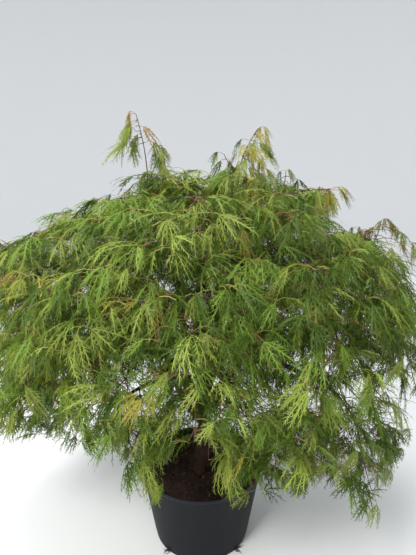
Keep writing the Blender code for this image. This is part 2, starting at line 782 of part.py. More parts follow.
def main():
    """Build the pot, the soil, the limbs and every mass of foliage."""
    clear_scene()
    bark = make_material("bark", BARK_COLOUR, 0.80)
    greens = [make_material(f"leaf green {index}", colour, 0.50)
              for index, colour in enumerate(LEAF_COLOURS)]
    build_pot(make_material("pot plastic", POT_COLOUR, 0.45))
    build_soil(make_material("bark and peat", SOIL_COLOUR, 0.95))

    limbs = {"trunk": trunk_limb()}
    build_trunk(limbs["trunk"], bark)
    for row in ROWS:
        parent = limbs[row.parent]
        limbs[row.name] = bough_limb(row, parent)
        bough = build_limb(f"bough_{row.name}", limbs[row.name], bark)
        if row.along < 1.0:
            cut_clear(bough, parent, TRUNK_SIDES if row.parent == "trunk" else BOUGH_SIDES)

    bearer = limbs[PRUNED_PARENT]
    limbs["pruned"] = pruned_limb(bearer)
    cut_clear(build_limb("pruned_limb", limbs["pruned"], bark), bearer, BOUGH_SIDES)

    middles = {row.name: mass_middle(row) for row in ROWS}
    for index, row in enumerate(ROWS):
        limb = limbs[row.name]
        heading = headings(limb.points)[-1]
        root = limb.points[-1] + heading * GAP
        others = [middle for name, middle in middles.items() if name != row.name]
        room = Room(middles[row.name], others, limbs.values())
        shoots = [shoot for shoot in SHOOTS if shoot.mass == row.name]
        rng = random.Random(index)
        twigs, leaves = grow_mass(row, root, heading, room, shoots, rng)
        build_mass(f"foliage_{row.name}", twigs, leaves, greens[index % len(greens)])


main()
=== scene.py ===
"""Dress the potted laceleaf maple: nursery pot, potting soil, bark, twigs and cut leaves.

Laid out as an add-on and run as a script: blender --background --python scene.py
Units are metres, +Z is up and the plant's front faces -Y.
"""

import json
import math
import random
from collections import namedtuple

import bmesh
import bpy
import numpy as np
from bpy.props import (FloatProperty, FloatVectorProperty, IntProperty, PointerProperty)
from mathutils import Euler, Matrix, Vector, noise

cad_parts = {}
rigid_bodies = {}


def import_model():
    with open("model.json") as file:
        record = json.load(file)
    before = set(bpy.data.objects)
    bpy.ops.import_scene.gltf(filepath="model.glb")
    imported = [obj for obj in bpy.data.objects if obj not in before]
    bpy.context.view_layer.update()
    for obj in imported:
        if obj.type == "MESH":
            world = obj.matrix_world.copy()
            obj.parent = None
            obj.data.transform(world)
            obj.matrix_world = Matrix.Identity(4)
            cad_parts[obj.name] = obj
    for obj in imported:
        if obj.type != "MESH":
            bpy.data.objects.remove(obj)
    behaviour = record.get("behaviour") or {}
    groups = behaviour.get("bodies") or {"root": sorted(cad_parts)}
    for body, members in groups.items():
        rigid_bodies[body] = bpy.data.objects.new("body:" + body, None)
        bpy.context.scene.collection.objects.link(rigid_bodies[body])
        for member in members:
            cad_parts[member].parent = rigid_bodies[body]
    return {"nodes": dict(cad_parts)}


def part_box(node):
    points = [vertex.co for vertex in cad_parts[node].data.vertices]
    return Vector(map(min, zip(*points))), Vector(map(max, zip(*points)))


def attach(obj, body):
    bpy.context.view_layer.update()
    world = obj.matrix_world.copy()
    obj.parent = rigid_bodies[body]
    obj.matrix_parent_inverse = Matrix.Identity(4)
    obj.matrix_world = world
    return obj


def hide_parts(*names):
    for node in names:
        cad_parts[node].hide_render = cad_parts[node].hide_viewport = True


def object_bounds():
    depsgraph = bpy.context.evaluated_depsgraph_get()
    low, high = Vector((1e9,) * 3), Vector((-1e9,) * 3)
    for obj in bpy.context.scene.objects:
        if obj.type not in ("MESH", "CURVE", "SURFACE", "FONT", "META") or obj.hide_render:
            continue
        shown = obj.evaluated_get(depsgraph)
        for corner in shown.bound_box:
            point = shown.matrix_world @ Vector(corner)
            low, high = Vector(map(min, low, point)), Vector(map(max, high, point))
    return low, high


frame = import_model()

bl_info = {
    "name": "Potted laceleaf maple",
    "version": (1, 0, 0),
    "blender": (4, 5, 0),
    "location": "3D View > Sidebar > Maple",
    "description": "Makes the pot, soil, bark, twigs and leaves of a potted laceleaf maple",
    "category": "Object",
}

CAD_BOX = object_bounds()
UP = Vector((0.0, 0.0, 1.0))

# ---------------------------------------------------------------- sizes taken from the frame

POT_RIM_RADIUS, _, POT_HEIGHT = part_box("pot")[1]
SOIL_RADIUS, _, SOIL_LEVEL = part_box("soil")[1]
FOLIAGE_NODES = sorted(name for name in frame["nodes"] if name.startswith("foliage_"))
BOUGH_NODES = sorted(name for name in frame["nodes"] if name.startswith("bough_"))

POT_BASE_RADIUS = 0.108
POT_FOOT_CHAMFER = 0.004
POT_WALL = 0.003
POT_FLOOR = 0.004
RIM_BAND_HEIGHT = 0.012
RIM_BAND_STEP = 0.0018
DRAIN_HOLES = 6
DRAIN_HOLE_RADIUS = 0.008
DRAIN_CIRCLE_RADIUS = 0.078
SOIL_EDGE_DROP = 0.004

# ---------------------------------------------------------------- how the solids' limbs run

GAP = 0.0003
TRUNK_HEIGHT = 0.235
TRUNK_BASE_RADIUS = 0.0190
TRUNK_TIP_RADIUS = 0.0120
TRUNK_LEAN = 0.022
TRUNK_BEND = 0.009
TRUNK_STEP_POWER = 1.35
FLARE_WIDTH = 0.013
FLARE_HEIGHT = 0.018
FLARE_TOES = 5
FLARE_TOE_DEPTH = 0.3

BOUGH_TIP_RADIUS = 0.0042
BOUGH_SWING = 0.010
LEAVING_OUT = 0.85
LEAVING_UP = 0.55
LEAVING_ALONG = 0.25
LEAVING_REACH = 0.34
ARRIVING_REACH = 0.38
ARRIVING_SLOPE = 1.1
ARRIVING_DROOP = 0.15

CROWN_DEPTH = 0.77
CROWN_RADIUS = 0.478
CROWN_TOP = 0.850
CROWN_WAIST = 0.430
CROWN_FOOT = 0.092
CROWN_SHOULDER_POWER = 2.3

STEM_RADIUS = 0.0040
STEM_TIP_RADIUS = 0.0016
STEM_ROOT_REACH = 0.50
STEM_TIP_REACH = 0.45
STEM_DROOP = 0.8

MASS_HANG = 0.06
MASS_MIDDLE_SHARE = 0.6
LIMB_MARGIN = 0.002
POT_MARGIN = 0.004
LEAF_DROP = 0.024                 # leaves may hang this much below their mass's solid

PRUNED_PARENT = "right_front"
PRUNED_ALONG = 0.34
PRUNED_TURN = 298
PRUNED_REACH = 0.150
PRUNED_HEIGHT = 0.418
PRUNED_RADIUS = 0.0076
PRUNED_FACE_RADIUS = 0.0072
PRUNED_BEND = 0.004

# One row for each bough with the mass of foliage at its tip: its parent, the place along
# it, its compass bearing (0 is +X, 90 is the back), reach, height and root radius. The
# mass's stem goes on to out and end, with side twigs of length twig, and hang says how far
# its leaves point down.
Row = namedtuple("Row", "name parent along turn reach rise radius out end twig hang")
ROWS = (
    Row("top_back", "trunk", 1.00, 95, 0.050, 0.700, 0.0105, 0.180, 0.810, 0.18, 0.8),
    Row("top_left", "trunk", 0.90, 186, 0.105, 0.700, 0.0088, 0.205, 0.790, 0.18, 0.6),
    Row("top_right", "top_back", 0.24, 352, 0.090, 0.690, 0.0080, 0.205, 0.795, 0.18, 0.6),
    Row("top_front", "top_back", 0.45, 268, 0.070, 0.685, 0.0070, 0.180, 0.785, 0.18, 0.8),
    Row("right", "trunk", 0.78, 357, 0.205, 0.620, 0.0090, 0.375, 0.650, 0.18, 0.8),
    Row("right_back", "trunk", 0.62, 42, 0.205, 0.600, 0.0085, 0.360, 0.630, 0.18, 1.0),
    Row("back", "trunk", 0.82, 92, 0.215, 0.600, 0.0085, 0.350, 0.630, 0.18, 1.0),
    Row("left_back", "trunk", 0.68, 138, 0.205, 0.600, 0.0085, 0.360, 0.630, 0.18, 1.0),
    Row("left", "trunk", 0.75, 183, 0.205, 0.610, 0.0088, 0.370, 0.640, 0.18, 0.8),
    Row("left_front", "trunk", 0.58, 225, 0.205, 0.600, 0.0085, 0.355, 0.620, 0.18, 1.0),
    Row("front", "trunk", 0.84, 266, 0.205, 0.590, 0.0085, 0.340, 0.620, 0.18, 1.0),
    Row("right_front", "trunk", 0.66, 316, 0.205, 0.600, 0.0105, 0.360, 0.630, 0.18, 1.0),
    Row("skirt_right", "right", 0.42, 14, 0.255, 0.465, 0.0066, 0.390, 0.475, 0.16, 0.9),
    Row("skirt_right_back", "right_back", 0.45, 58, 0.245, 0.445, 0.0064, 0.360, 0.440, 0.17, 1.0),
    Row("skirt_back", "back", 0.42, 102, 0.255, 0.445, 0.0064, 0.350, 0.440, 0.17, 1.0),
    Row("skirt_left_back", "left_back", 0.45, 148, 0.245, 0.445, 0.0064, 0.365, 0.440, 0.17, 1.0),
    Row("skirt_left", "left", 0.42, 194, 0.255, 0.450, 0.0066, 0.385, 0.450, 0.16, 1.0),
    Row("skirt_left_front", "left_front", 0.45, 234, 0.185, 0.425, 0.0064, 0.275, 0.395, 0.16, 1.1),
    Row("skirt_front", "front", 0.45, 288, 0.170, 0.410, 0.0062, 0.245, 0.385, 0.15, 1.1),
    Row("skirt_right_front", "right_front", 0.48, 334, 0.255, 0.425, 0.0064, 0.350, 0.350, 0.16, 1.1),
)
# Young shoots that stand out of the dome. Each leaves a mass's stem at a share along it and
# ends at a bearing, reach and height. It bows outward by a share of its length. Leaves sit on
# the leafy share next to its tip, on fine twigs that are longest, drape, lowest down. Over
# half of them have the shoot's own tint.
Shoot = namedtuple("Shoot", "mass along turn reach height bow leafy drape tint")
SHOOTS = (
    Shoot("top_left", 0.15, 182, 0.125, 0.943, -0.08, 0.24, 0.012, "bronze"),
    Shoot("top_left", 0.05, 178, 0.078, 0.885, -0.15, 0.60, 0.030, "olive"),
    Shoot("top_right", 0.05, 355, 0.112, 0.915, -0.20, 0.75, 0.115, "gold"),
    Shoot("top_right", 0.01, 20, 0.050, 0.868, 0.10, 0.75, 0.050, "green"),
    Shoot("top_right", 0.35, 357, 0.170, 0.835, 0.15, 0.75, 0.055, "olive"),
    Shoot("top_right", 0.7, 358, 0.262, 0.800, 0.10, 0.60, 0.025, "gold"),
    Shoot("right", 0.3, 357, 0.310, 0.722, 0.10, 0.60, 0.070, "green"),
    Shoot("right", 0.8, 2, 0.375, 0.735, 0.10, 0.70, 0.060, "bronze"),
    Shoot("left", 0.8, 186, 0.400, 0.700, 0.10, 0.70, 0.050, "green"),
)

# ---------------------------------------------------------------- settings a user may change


def linear(code):
    """Linear RGB of an sRGB hex colour such as #6F9A2E."""
    channels = [int(code[start:start + 2], 16) / 255.0 for start in (1, 3, 5)]
    return tuple(c / 12.92 if c <= 0.04045 else ((c + 0.055) / 1.055) ** 2.4 for c in channels)


def colour_setting(name, description, code):
    """Colour property whose default is given as an sRGB hex colour."""
    return FloatVectorProperty(name=name, description=description, subtype="COLOR", size=3,
                               min=0.0, max=1.0, default=linear(code))


def size_setting(name, description, default):
    """Length property in metres."""
    return FloatProperty(name=name, description=description, default=default, unit="LENGTH")


class MaplePotSettings(bpy.types.PropertyGroup):
    """Sizes and colour of the nursery pot."""
    colour: colour_setting("Plastic", "Colour of the moulded plastic", "#0A0D12")
    bead: size_setting("Rim bead", "Radius of the rolled edge on top of the rim", 0.0016)
    slot_width: size_setting("Drain slot", "Width of a drain slot at the foot", 0.009)
    sides: IntProperty(name="Sides", description="Facets round the pot", default=128, min=16)


class MapleSoilSettings(bpy.types.PropertyGroup):
    """Sizes and colours of the filling."""
    colour: colour_setting("Peat", "Colour of the damp peat", "#321E14")
    lump: size_setting("Lump height", "Height of the soil's lumps", 0.0045)
    density: FloatProperty(name="Chips", description="Bark chips for each square metre",
                           default=15000.0, min=0.0)
    chip: size_setting("Chip length", "Length of a middling bark chip", 0.009)
    seed: IntProperty(name="Seed", description="Where the chips fall", default=4)


class MapleBarkSettings(bpy.types.PropertyGroup):
    """Relief and colour of the bark."""
    colour: colour_setting("Bark", "Colour of the old bark's ridges", "#3A281C")
    crack: colour_setting("Cracks", "Colour between the bark's ridges", "#150E0A")
    young: colour_setting("Young bark", "Colour of this year's twigs", "#623A2B")
    relief: size_setting("Relief", "Depth of the furrows on the trunk", 0.0016)
    ring: size_setting("Ring spacing", "Distance between the rings of the bark's mesh", 0.004)


class MapleFoliageSettings(bpy.types.PropertyGroup):
    """How the twigs branch and the leaves sit on them."""
    leaf: size_setting("Leaf length", "From a leaf's palm to the tip of its middle lobe", 0.072)
    side_pairs: IntProperty(name="Side twigs", description="Pairs along a mass's stem", default=4)
    spacing: size_setting("Spray spacing", "Distance between the tips of the sprays", 0.041)
    fullness: FloatProperty(name="Fullness", description="Share of the leaf pairs that grow",
                            default=0.75, min=0.0, max=1.0)
    thickness: FloatProperty(name="Twig thickness", description="Scale of the twigs' radii",
                             default=1.0, min=0.1)
    seed: IntProperty(name="Seed", description="How the twigs and leaves fall", default=11)


class MapleStageSettings(bpy.types.PropertyGroup):
    """Floor and light, which are no part of the plant."""
    floor: colour_setting("Floor", "Colour of the floor", "#F6F7F7")
    wall: colour_setting("Wall", "Colour of the wall all round", "#DADCDE")
    key: FloatProperty(name="Window light", description="Watts of the large front light",
                       default=53.0, min=0.0)
    top: FloatProperty(name="Roof light", description="Watts of the large light above",
                       default=32.0, min=0.0)
    sky: FloatProperty(name="Fill", description="Strength of the light from all round",
                       default=0.69, min=0.0)


# ---------------------------------------------------------------- small helpers

def add_node(tree, kind, sockets=None, **settings):
    """Add a node, set its properties, and give its inputs values or links."""
    made = tree.nodes.new(kind)
    for name, value in settings.items():
        setattr(made, name, value)
    for name, value in (sockets or {}).items():
        if isinstance(value, bpy.types.NodeSocket):
            tree.links.new(value, made.inputs[name])
        else:
            made.inputs[name].default_value = value
    return made


def new_material(name, values):
    """Material whose Principled shader has the given values, with its tree and shader."""
    material = bpy.data.materials.new(name)
    material.use_nodes = True
    shader = material.node_tree.nodes["Principled BSDF"]
    for socket, value in values.items():
        shader.inputs[socket].default_value = value
    return material, material.node_tree, shader


def paint(tree, shader, factor, stops, height=None, strength=0.0, depth=0.0):
    """Colour a shader by a factor, over (position, linear colour) stops, and give it the
    relief of a height."""
    graded = add_node(tree, "ShaderNodeValToRGB", {"Fac": factor})
    elements = graded.color_ramp.elements
    while len(elements) < len(stops):
        elements.new(0.5)
    for element, (position, colour) in zip(elements, stops):
        element.position = position
        element.color = (*colour, 1.0)
    tree.links.new(graded.outputs["Color"], shader.inputs["Base Color"])
    if height is not None:
        bump = add_node(tree, "ShaderNodeBump",
                        {"Height": height, "Strength": strength, "Distance": depth})
        tree.links.new(bump.outputs["Normal"], shader.inputs["Normal"])


def scaled(colour, factor):
    """A colour made lighter or darker."""
    return tuple(min(channel * factor, 1.0) for channel in colour)


def take_mesh(name, bm):
    """Mesh of a bmesh, which is freed."""
    mesh = bpy.data.meshes.new(name)
    bm.to_mesh(mesh)
    bm.free()
    return mesh


def link_object(name, mesh, *materials):
    """Object of a mesh at the origin, linked to the scene."""
    item = bpy.data.objects.new(name, mesh)
    bpy.context.scene.collection.objects.link(item)
    for material in materials:
        mesh.materials.append(material)
    return item


def shade(item, edge):
    """Shade a piece smooth, but for the edges that are sharper than an angle in degrees."""
    item.data.shade_smooth()
    item.data.set_sharp_from_angle(angle=math.radians(edge))


def around(ring):
    """Each member of a closed ring with the one after it."""
    return zip(ring, ring[1:] + ring[:1])


def join_rings(bm, rings, turned=False):
    """Faces between closed rings of verts that follow each other, turned over if wanted."""
    for lower, upper in zip(rings, rings[1:]):
        for (first, second), (third, fourth) in zip(around(lower), around(upper)):
            corners = (first, third, fourth, second) if turned else (first, second, fourth, third)
            bm.faces.new(corners)


def bake_modifiers(item):
    """Turn what an object's modifiers make into its own plain mesh."""
    graph = bpy.context.evaluated_depsgraph_get()
    mesh = bpy.data.meshes.new_from_object(item.evaluated_get(graph))
    item.modifiers.clear()
    item.data = mesh
    mesh.name = item.name


def set_input(modifier, name, value):
    """Set a Geometry Nodes input by its name in the tree's interface."""
    for socket in modifier.node_group.interface.items_tree:
        if socket.name == name and socket.in_out == "INPUT":
            modifier[socket.identifier] = value
            return
    raise ValueError(f"the tree has no input named {name}")


def grow_with(item, tree, **inputs):
    """Run a Geometry Nodes tree on an object and keep its result as a plain mesh."""
    modifier = item.modifiers.new(tree.name, "NODES")
    modifier.node_group = tree
    for name, value in inputs.items():
        set_input(modifier, name, value)
    bake_modifiers(item)


def new_tree(name, inputs):
    """Geometry tree with named inputs, and its input and output nodes."""
    tree = bpy.data.node_groups.new(name, "GeometryNodeTree")
    tree.interface.new_socket("Geometry", in_out="INPUT", socket_type="NodeSocketGeometry")
    for label, kind in inputs:
        tree.interface.new_socket(label, in_out="INPUT", socket_type=kind)
    tree.interface.new_socket("Geometry", in_out="OUTPUT", socket_type="NodeSocketGeometry")
    return tree, add_node(tree, "NodeGroupInput").outputs, add_node(tree, "NodeGroupOutput")


def close_tree(tree, geometry, material, out):
    """End a tree in realized instances with a material."""
    realized = add_node(tree, "GeometryNodeRealizeInstances", {"Geometry": geometry})
    painted = add_node(tree, "GeometryNodeSetMaterial",
                       {"Geometry": realized.outputs["Geometry"], "Material": material})
    tree.links.new(painted.outputs["Geometry"], out.inputs["Geometry"])


def gather_forms(name, meshes):
    """Collection of one object for each mesh, in order."""
    forms = bpy.data.collections.new(name)
    for index, mesh in enumerate(meshes):
        forms.objects.link(bpy.data.objects.new(f"{name} {index:02d}", mesh))
    bpy.context.scene.collection.children.link(forms)
    return forms


def remove_forms(forms):
    """Remove a collection and its objects."""
    for item in list(forms.objects):
        bpy.data.objects.remove(item, do_unlink=True)
    bpy.data.collections.remove(forms)


def dress(item, slot, *nodes):
    """Make a piece ride on the plant and stand for its CAD nodes. The slot, the name of its finish,
    is not used.
    """
    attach(item, "root")
    if nodes:
        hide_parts(*nodes)


# ---------------------------------------------------------------- how limbs run

# A limb, a twig or a root: points along its middle line, and its radius at each of them.
Limb = namedtuple("Limb", "points radii")


def tapered(points, first, last):
    """Limb whose radius changes evenly from its first point to its last."""
    count = len(points) - 1
    return Limb(points, [first + (last - first) * step / count for step in range(count + 1)])


def place(turn, reach, height):
    """Point at a compass bearing in degrees, a reach from the pot's axis and a height."""
    angle = math.radians(turn)
    return Vector((reach * math.cos(angle), CROWN_DEPTH * reach * math.sin(angle), height))


def outward_at(turn):
    """Level direction away from the pot's axis, at a compass bearing in degrees."""
    return place(turn, 1.0, 0.0).normalized()


def bezier(first, second, third, fourth, steps):
    """Points along a cubic curve."""
    points = []
    for step in range(steps + 1):
        share = step / steps
        rest = 1.0 - share
        points.append(first * rest ** 3 + second * 3 * rest ** 2 * share
                      + third * 3 * rest * share ** 2 + fourth * share ** 3)
    return points


def headings(points):
    """Unit direction of a polyline at each of its points."""
    before = points[:1] + points[:-1]
    after = points[1:] + points[-1:]
    return [(second - first).normalized() for first, second in zip(before, after)]


def along(points, share):
    """Point and direction at a share of a polyline's length."""
    position = share * (len(points) - 1)
    index = min(int(position), len(points) - 2)
    start, end = points[index:index + 2]
    return start.lerp(end, position - index), (end - start).normalized()


def trunk_limb(steps):
    """Leaning S-shaped trunk from the soil to its tip."""
    points = []
    radii = []
    for step in range(steps + 1):
        share = (step / steps) ** TRUNK_STEP_POWER
        swing = TRUNK_BEND * math.sin(math.tau * share) * share
        points.append(Vector((TRUNK_LEAN * share ** TRUNK_STEP_POWER + swing,
                              TRUNK_BEND * share * (1 - share),
                              SOIL_LEVEL + GAP + TRUNK_HEIGHT * share)))
        radii.append(TRUNK_BASE_RADIUS + (TRUNK_TIP_RADIUS - TRUNK_BASE_RADIUS) * share)
    return Limb(points, radii)


def bough_limb(row, parent, steps):
    """Arching bough from its parent's middle, or from its tip, to the mass."""
    start, heading = along(parent.points, row.along)
    tip = place(row.turn, row.reach, row.rise)
    outward = outward_at(row.turn)
    leaving = (outward * LEAVING_OUT + UP * LEAVING_UP + heading * LEAVING_ALONG).normalized()
    if row.along == 1.0:
        leaving = heading
    span = (tip - start).length
    slope = (tip.z - start.z) / span
    arriving = (outward + UP * (ARRIVING_SLOPE * slope - ARRIVING_DROOP)).normalized()
    path = bezier(start, start + leaving * span * LEAVING_REACH,
                  tip - arriving * span * ARRIVING_REACH, tip, steps)
    sideways = outward.cross(UP)
    points = []
    for step, point in enumerate(path):
        share = step / steps
        wave = BOUGH_SWING * math.sin(math.tau * share) * math.sin(math.pi * share)
        points.append(point + sideways * wave)
    return tapered(points, row.radius, BOUGH_TIP_RADIUS)


def pruned_face():
    """Middle of the pruned limb's sawn face."""
    return place(PRUNED_TURN, PRUNED_REACH, PRUNED_HEIGHT)


def pruned_limb(parent, steps):
    """Short fork of a bough, cut straight across at its end."""
    start = along(parent.points, PRUNED_ALONG)[0]
    points = []
    for step in range(steps + 1):
        share = step / steps
        sag = UP * PRUNED_BEND * math.sin(math.pi * share)
        points.append(start.lerp(pruned_face(), share) - sag)
    return tapered(points, PRUNED_RADIUS, PRUNED_FACE_RADIUS)


def all_limbs(steps):
    """Every limb by name, the trunk first."""
    limbs = {"trunk": trunk_limb(steps)}
    for row in ROWS:
        limbs[row.name] = bough_limb(row, limbs[row.parent], steps)
    limbs["pruned"] = pruned_limb(limbs[PRUNED_PARENT], steps)
    return limbs


def stem_path(row, bough, steps):
    """Middle line of a mass's stem, which goes on from its bough's tip."""
    root = bough.points[-1]
    end = place(row.turn, row.out, row.end)
    span = (end - root).length
    arriving = (outward_at(row.turn) - UP * row.hang * STEM_DROOP).normalized()
    after_root = root + headings(bough.points)[-1] * span * STEM_ROOT_REACH
    return bezier(root, after_root, end - arriving * span * STEM_TIP_REACH, end, steps)


# ---------------------------------------------------------------- pot

FOOT_ARC_STEPS = 4
WALL_STEPS = 8
BEAD_STEPS = 8
BEAD_EDGE = 0.3                   # the wall under the bead lies this share of it further in
BEAD_DEPTH = 2.2                  # and starts this many times its radius below the rim
CUTTER_SIDES = 20
HOLE_CUT = 0.012                  # lengths of the cutters for the holes and the slots
SLOT_CUT = 0.015
FOOT_SLOTS = 8
FOOT_SLOT_TURN = 46.0             # bearing of the first drain slot at the pot's foot
PLASTIC_EDGE = 35


def plastic_material(settings):
    """Moulded polypropylene: a dull black-grey skin with a faint moulded grain, rubbed a
    little paler in patches."""
    material, tree, shader = new_material("moulded polypropylene",
                                          {"Specular IOR Level": 0.25, "IOR": 1.49})
    spot = add_node(tree, "ShaderNodeTexCoord").outputs["Object"]
    # Rubbed patches of about 40 mm, drawn out downwards.
    stretched = add_node(tree, "ShaderNodeMapping", {"Vector": spot, "Scale": (1.0, 1.0, 0.25)})
    patches = add_node(tree, "ShaderNodeTexNoise",
                       {"Vector": stretched.outputs["Vector"], "Scale": 25.0, "Detail": 4.0})
    # The mould's spark grain is 0.3 mm, drawn at 1.2 mm so that it shows.
    grain = add_node(tree, "ShaderNodeTexNoise", {"Vector": spot, "Scale": 830.0, "Detail": 2.0})
    paint(tree, shader, patches.outputs["Fac"],
          ((0.30, scaled(settings.colour, 0.80)), (0.55, settings.colour),
           (0.80, scaled(settings.colour, 1.45))),
          grain.outputs["Fac"], strength=0.10, depth=0.0003)
    rough = add_node(tree, "ShaderNodeMapRange",
                     {"Value": patches.outputs["Fac"], "To Min": 0.52, "To Max": 0.68})
    tree.links.new(rough.outputs["Result"], shader.inputs["Roughness"])
    return material


def wall_radius(height):
    """Radius of the pot's tapered outer wall, below its rim band."""
    wall_top = POT_RIM_RADIUS - RIM_BAND_STEP
    return POT_BASE_RADIUS + (wall_top - POT_BASE_RADIUS) * height / POT_HEIGHT


def arc(across, height, radius, first, last, steps):
    """Outline points on an arc round a middle, from one angle in degrees to another."""
    points = []
    for step in range(steps + 1):
        angle = math.radians(first + (last - first) * step / steps)
        points.append((across + radius * math.cos(angle), height + radius * math.sin(angle)))
    return points


def pot_profile(bead):
    """Outline of the pot's wall, from the middle of its underside over the rim and inside."""
    band_foot = POT_HEIGHT - RIM_BAND_HEIGHT
    foot = POT_BASE_RADIUS - POT_FOOT_CHAMFER
    bead_foot = POT_HEIGHT - BEAD_DEPTH * bead
    profile = [(0.0, 0.0), (foot / 2, 0.0),
               *arc(foot, POT_FOOT_CHAMFER, POT_FOOT_CHAMFER, -90, 0, FOOT_ARC_STEPS)]
    for step in range(1, WALL_STEPS + 1):
        height = POT_FOOT_CHAMFER + (band_foot - POT_FOOT_CHAMFER) * step / WALL_STEPS
        profile.append((wall_radius(height), height))
    profile.append((wall_radius(band_foot) + RIM_BAND_STEP, band_foot + RIM_BAND_STEP))
    profile.append((POT_RIM_RADIUS - BEAD_EDGE * bead, bead_foot))
    profile += arc(POT_RIM_RADIUS - bead, POT_HEIGHT - bead, bead, 0, 180, BEAD_STEPS)
    profile.append((wall_radius(POT_HEIGHT) - POT_WALL, bead_foot))
    profile.append((wall_radius(POT_FLOOR) - POT_WALL, POT_FLOOR))
    return [*profile, (foot / 2, POT_FLOOR), (0.0, POT_FLOOR)]


def spin_profile(profile, sides):
    """Closed skin of an outline turned about Z, whose first and last points lie on the axis."""
    bm = bmesh.new()
    verts = [bm.verts.new((radius, 0.0, height)) for radius, height in profile]
    edges = [bm.edges.new(pair) for pair in zip(verts, verts[1:])]
    bmesh.ops.spin(bm, geom=verts + edges, cent=(0, 0, 0), axis=(0, 0, 1),
                   angle=math.tau, steps=sides, use_merge=True)
    bmesh.ops.remove_doubles(bm, verts=bm.verts, dist=1e-6)
    bmesh.ops.recalc_face_normals(bm, faces=bm.faces)
    return bm


def drill(item, matrices, radius, depth):
    """Cut round holes at the places that the matrices give."""
    bm = bmesh.new()
    for matrix in matrices:
        bmesh.ops.create_cone(bm, cap_ends=True, segments=CUTTER_SIDES, radius1=radius,
                              radius2=radius, depth=depth, matrix=matrix)
    cutter = link_object("hole cutter", take_mesh("hole cutter", bm), item.data.materials[0])
    modifier = item.modifiers.new("holes", "BOOLEAN")
    modifier.operation = "DIFFERENCE"
    modifier.solver = "EXACT"
    modifier.object = cutter
    bake_modifiers(item)
    bpy.data.objects.remove(cutter, do_unlink=True)


def level_way(angle):
    """Level direction at an angle in radians."""
    return Vector((math.cos(angle), math.sin(angle), 0.0))


def slot_bearing(slot):
    """Angle of a drain slot round the pot's foot."""
    return math.radians(FOOT_SLOT_TURN) + math.tau * slot / FOOT_SLOTS


def build_pot(settings):
    """Nursery pot with a rolled rim, a ring of drain holes and slots at its foot."""
    bm = spin_profile(pot_profile(settings.bead), settings.sides)
    pot = link_object("nursery_pot", take_mesh("nursery_pot", bm), plastic_material(settings))
    holes = []
    for index in range(DRAIN_HOLES):
        angle = math.tau * (index + 0.5) / DRAIN_HOLES
        holes.append(Matrix.Translation((DRAIN_CIRCLE_RADIUS * math.cos(angle),
                                         DRAIN_CIRCLE_RADIUS * math.sin(angle), POT_FLOOR / 2)))
    drill(pot, holes, DRAIN_HOLE_RADIUS, HOLE_CUT)
    slots = []
    for slot in range(FOOT_SLOTS):
        outward = level_way(slot_bearing(slot))
        turned = outward.to_track_quat("Z", "Y").to_matrix().to_4x4()
        slots.append(Matrix.Translation(outward * POT_BASE_RADIUS) @ turned)
    drill(pot, slots, settings.slot_width / 2, SLOT_CUT)
    shade(pot, PLASTIC_EDGE)
    dress(pot, "pot_plastic", "pot")


# ---------------------------------------------------------------- soil

SOIL_RINGS = 46
SOIL_SEGMENTS = 120
SOIL_UNDERSIDE = 0.125            # the filling's lower part is out of sight
SOIL_EDGE = 50
# Layer of noise, waves for each metre and height of the soil's lumps.
LUMPS = ((0.0, 42.0, 1.0), (7.0, 110.0, 0.6), (3.0, 300.0, 0.35))
LUMP_SINK = 0.4
LUMP_SHARE = 0.6

# Name, colour, share of the chips and lift above the soil.
CHIP_KINDS = (
    ("chips_dark", "#2E1C14", 0.55, 0.0004),
    ("chips_brown", "#4A2E20", 0.38, 0.0008),
    ("chips_pale", "#6E5542", 0.07, 0.0010),
)
CHIP_EDGE = 0.94                  # share of the soil's radius that chips lie on
CHIP_GRID = 60
CHIP_FORMS = 6
CHIP_SEED = 2
CHIP_WIDTHS = (0.35, 0.75)        # as shares of a chip's length
CHIP_THICKNESSES = (0.14, 0.30)
CHIP_RAGGEDNESS = 0.35
CHIP_RAGS = 2.6                   # waves of raggedness along a chip
CHIP_STEP = 5.0                   # between the stretches of noise that the chips are cut from
CHIP_TILT = 0.5                   # chips lie up to this many radians off the level
CHIP_SIZES = (0.35, 1.5)


def peat_material(settings):
    """Damp peat and composted bark: dark brown crumbs with a dull, rough skin."""
    material, tree, shader = new_material("damp peat", {"Roughness": 0.92})
    spot = add_node(tree, "ShaderNodeTexCoord").outputs["Object"]
    # Crumbs of 3 mm, and damp patches of 30 mm.
    crumbs = add_node(tree, "ShaderNodeTexNoise",
                      {"Vector": spot, "Scale": 330.0, "Detail": 6.0, "Roughness": 0.7})
    damp = add_node(tree, "ShaderNodeTexNoise", {"Vector": spot, "Scale": 33.0})
    both = add_node(tree, "ShaderNodeMath", {0: crumbs.outputs["Fac"], 1: damp.outputs["Fac"]},
                    operation="MULTIPLY")
    paint(tree, shader, both.outputs["Value"],
          ((0.12, scaled(settings.colour, 0.45)), (0.27, settings.colour),
           (0.42, scaled(settings.colour, 2.6))),
          crumbs.outputs["Fac"], strength=0.8, depth=0.0015)
    return material


def chip_material(name, code):
    """Broken pine bark: dry flakes with streaks of 2 mm along them."""
    material, tree, shader = new_material(name, {"Roughness": 0.85})
    spot = add_node(tree, "ShaderNodeTexCoord").outputs["Object"]
    streaks = add_node(tree, "ShaderNodeTexNoise", {"Vector": spot, "Scale": 420.0, "Detail": 4.0})
    base = linear(code)
    paint(tree, shader, streaks.outputs["Fac"],
          ((0.30, scaled(base, 0.55)), (0.55, base), (0.75, scaled(base, 1.6))),
          streaks.outputs["Fac"], strength=0.5, depth=0.0006)
    return material


